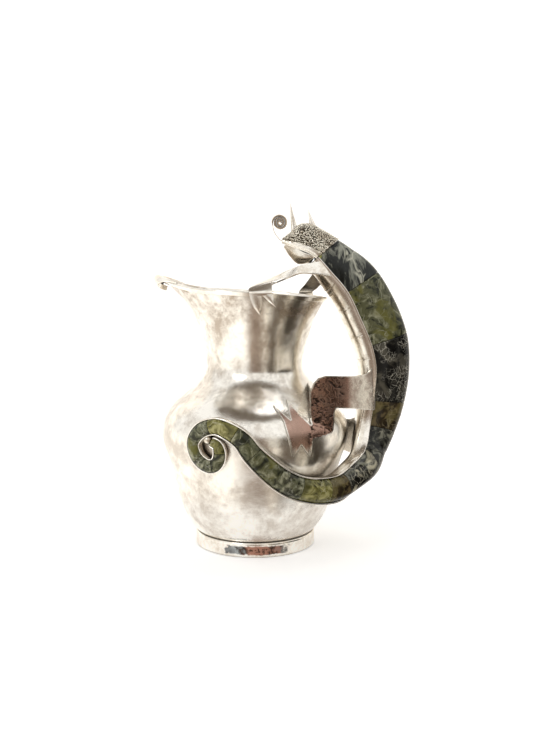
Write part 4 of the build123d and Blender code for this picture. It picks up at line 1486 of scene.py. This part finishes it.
# The darker things of a room round the object, by direction from it
def makeRoomGroup():
    group, source, sink = newGroup("roomAround", [("Vector", "NodeSocketVector", (0, 0, 0))],
                                   [("Colour", "NodeSocketColor"), ("Shift", "NodeSocketFloat")])
    vector = source.outputs["Vector"]
    east, north, _ = addNode(group, "ShaderNodeSeparateXYZ", vector=vector).outputs
    azimuth = calculate(group, "ARCTAN2", east, calculate(group, "MULTIPLY", north, -1.0))
    shift = noiseAt(group, vector, 5.0, 3, 0.5)
    turned = calculate(group, "MULTIPLY_ADD", azimuth, 0.5 / math.pi, 0.48)
    turned = calculate(group, "MULTIPLY_ADD", shift, 0.04, turned)
    room = ramp(group, turned, stageLook["roomColours"])
    group.links.new(room, sink.inputs["Colour"])
    group.links.new(shift, sink.inputs["Shift"])
    return group


roomGroup = makeRoomGroup()


# A pale floor that sweeps up behind; past the object's near surroundings it mirrors as the room's
def makeFloor():
    profile = [(-0.6, 0.0), (0.9, 0.0)]
    for step in range(1, 13):
        angle = math.radians(90 * step / 12)
        profile.append((0.9 + 0.7 * math.sin(angle), 0.7 * (1 - math.cos(angle))))
    profile.append((1.6, 2.6))
    points = [(x / mm, y / mm, z / mm) for y, z in profile for x in (-2.6, 2.6)]
    faces = [(2 * k, 2 * k + 1, 2 * k + 3, 2 * k + 2) for k in range(len(profile) - 1)]
    floor = meshPiece("floor", points, faces, 60)
    material, tree, shader = newMaterial("paleFloor")
    where = tree.nodes.new("ShaderNodeTexCoord").outputs["Object"]
    room = placed(tree, roomGroup, vector=where)
    away = addNode(tree, "ShaderNodeVectorMath", operation="LENGTH")
    tree.links.new(where, away.inputs[0])
    beyond = ramp(tree, calculate(tree, "MULTIPLY_ADD", room.outputs["Shift"], 0.06, away.outputs["Value"]),
                  [(0.15, grey(0)), (0.19, grey(1))])
    seen = tree.nodes.new("ShaderNodeLightPath").outputs["Is Camera Ray"]
    beyond = calculate(tree, "MULTIPLY", beyond, calculate(tree, "SUBTRACT", 1.0, seen))
    colour = mixColour(tree, beyond, (0.9, 0.9, 0.9, 1), room.outputs["Colour"])
    tree.links.new(colour, shader.inputs["Base Color"])
    shader.inputs["Roughness"].default_value = 0.9
    tree.links.new(colour, shader.inputs["Emission Color"])
    shader.inputs["Emission Strength"].default_value = stageLook["floorGlow"]
    floor.data.materials.append(material)


def makeLight(name, location, target, size, power):
    data = bpy.data.lights.new(name, "AREA")
    data.shape = "RECTANGLE"
    data.size, data.size_y = size
    data.energy = power
    light = bpy.data.objects.new(name, data)
    light.location = location
    light.rotation_euler = (Vector(target) - Vector(location)).to_track_quat("-Z", "Y").to_euler()
    bpy.context.scene.collection.objects.link(light)


# White all round, with the darker room beyond it to the front and right
def makeWorld():
    world = bpy.data.worlds.new("studio")
    bpy.context.scene.world = world
    world.use_nodes = True
    tree = world.node_tree
    direction = tree.nodes.new("ShaderNodeTexCoord").outputs["Generated"]
    up = addNode(tree, "ShaderNodeSeparateXYZ", vector=direction).outputs["Z"]
    room = placed(tree, roomGroup, vector=direction)
    height = calculate(tree, "MULTIPLY_ADD", up, 0.5, 0.45)
    edge = calculate(tree, "MULTIPLY_ADD", room.outputs["Shift"], 0.10, height)
    level = ramp(tree, edge, [(0.16, grey(0)), (0.24, grey(1)), (0.60, grey(1)), (0.66, grey(0))])
    colour = mixColour(tree, level, stageLook["paleAir"], room.outputs["Colour"])
    overhead = ramp(tree, calculate(tree, "MULTIPLY_ADD", room.outputs["Shift"], 0.1, up),
                    [(0.90, grey(0)), (0.95, grey(1))])
    colour = mixColour(tree, overhead, colour, stageLook["overheadColour"])
    background = tree.nodes["Background"]
    tree.links.new(colour, background.inputs["Color"])
    background.inputs["Strength"].default_value = stageLook["surround"]
    plain = addNode(tree, "ShaderNodeBackground", color=(1, 1, 1, 1), strength=1.0)
    seen = tree.nodes.new("ShaderNodeLightPath").outputs["Is Camera Ray"]
    mix = tree.nodes.new("ShaderNodeMixShader")
    tree.links.new(seen, mix.inputs[0])
    tree.links.new(background.outputs[0], mix.inputs[1])
    tree.links.new(plain.outputs[0], mix.inputs[2])
    tree.links.new(mix.outputs[0], tree.nodes["World Output"].inputs["Surface"])
    bpy.context.scene.view_settings.view_transform = "Standard"


makeCamera()
makeFloor()
makeWorld()
for name, look in lightLook.items():
    makeLight(name, **look)
print("camera, floor and light made")
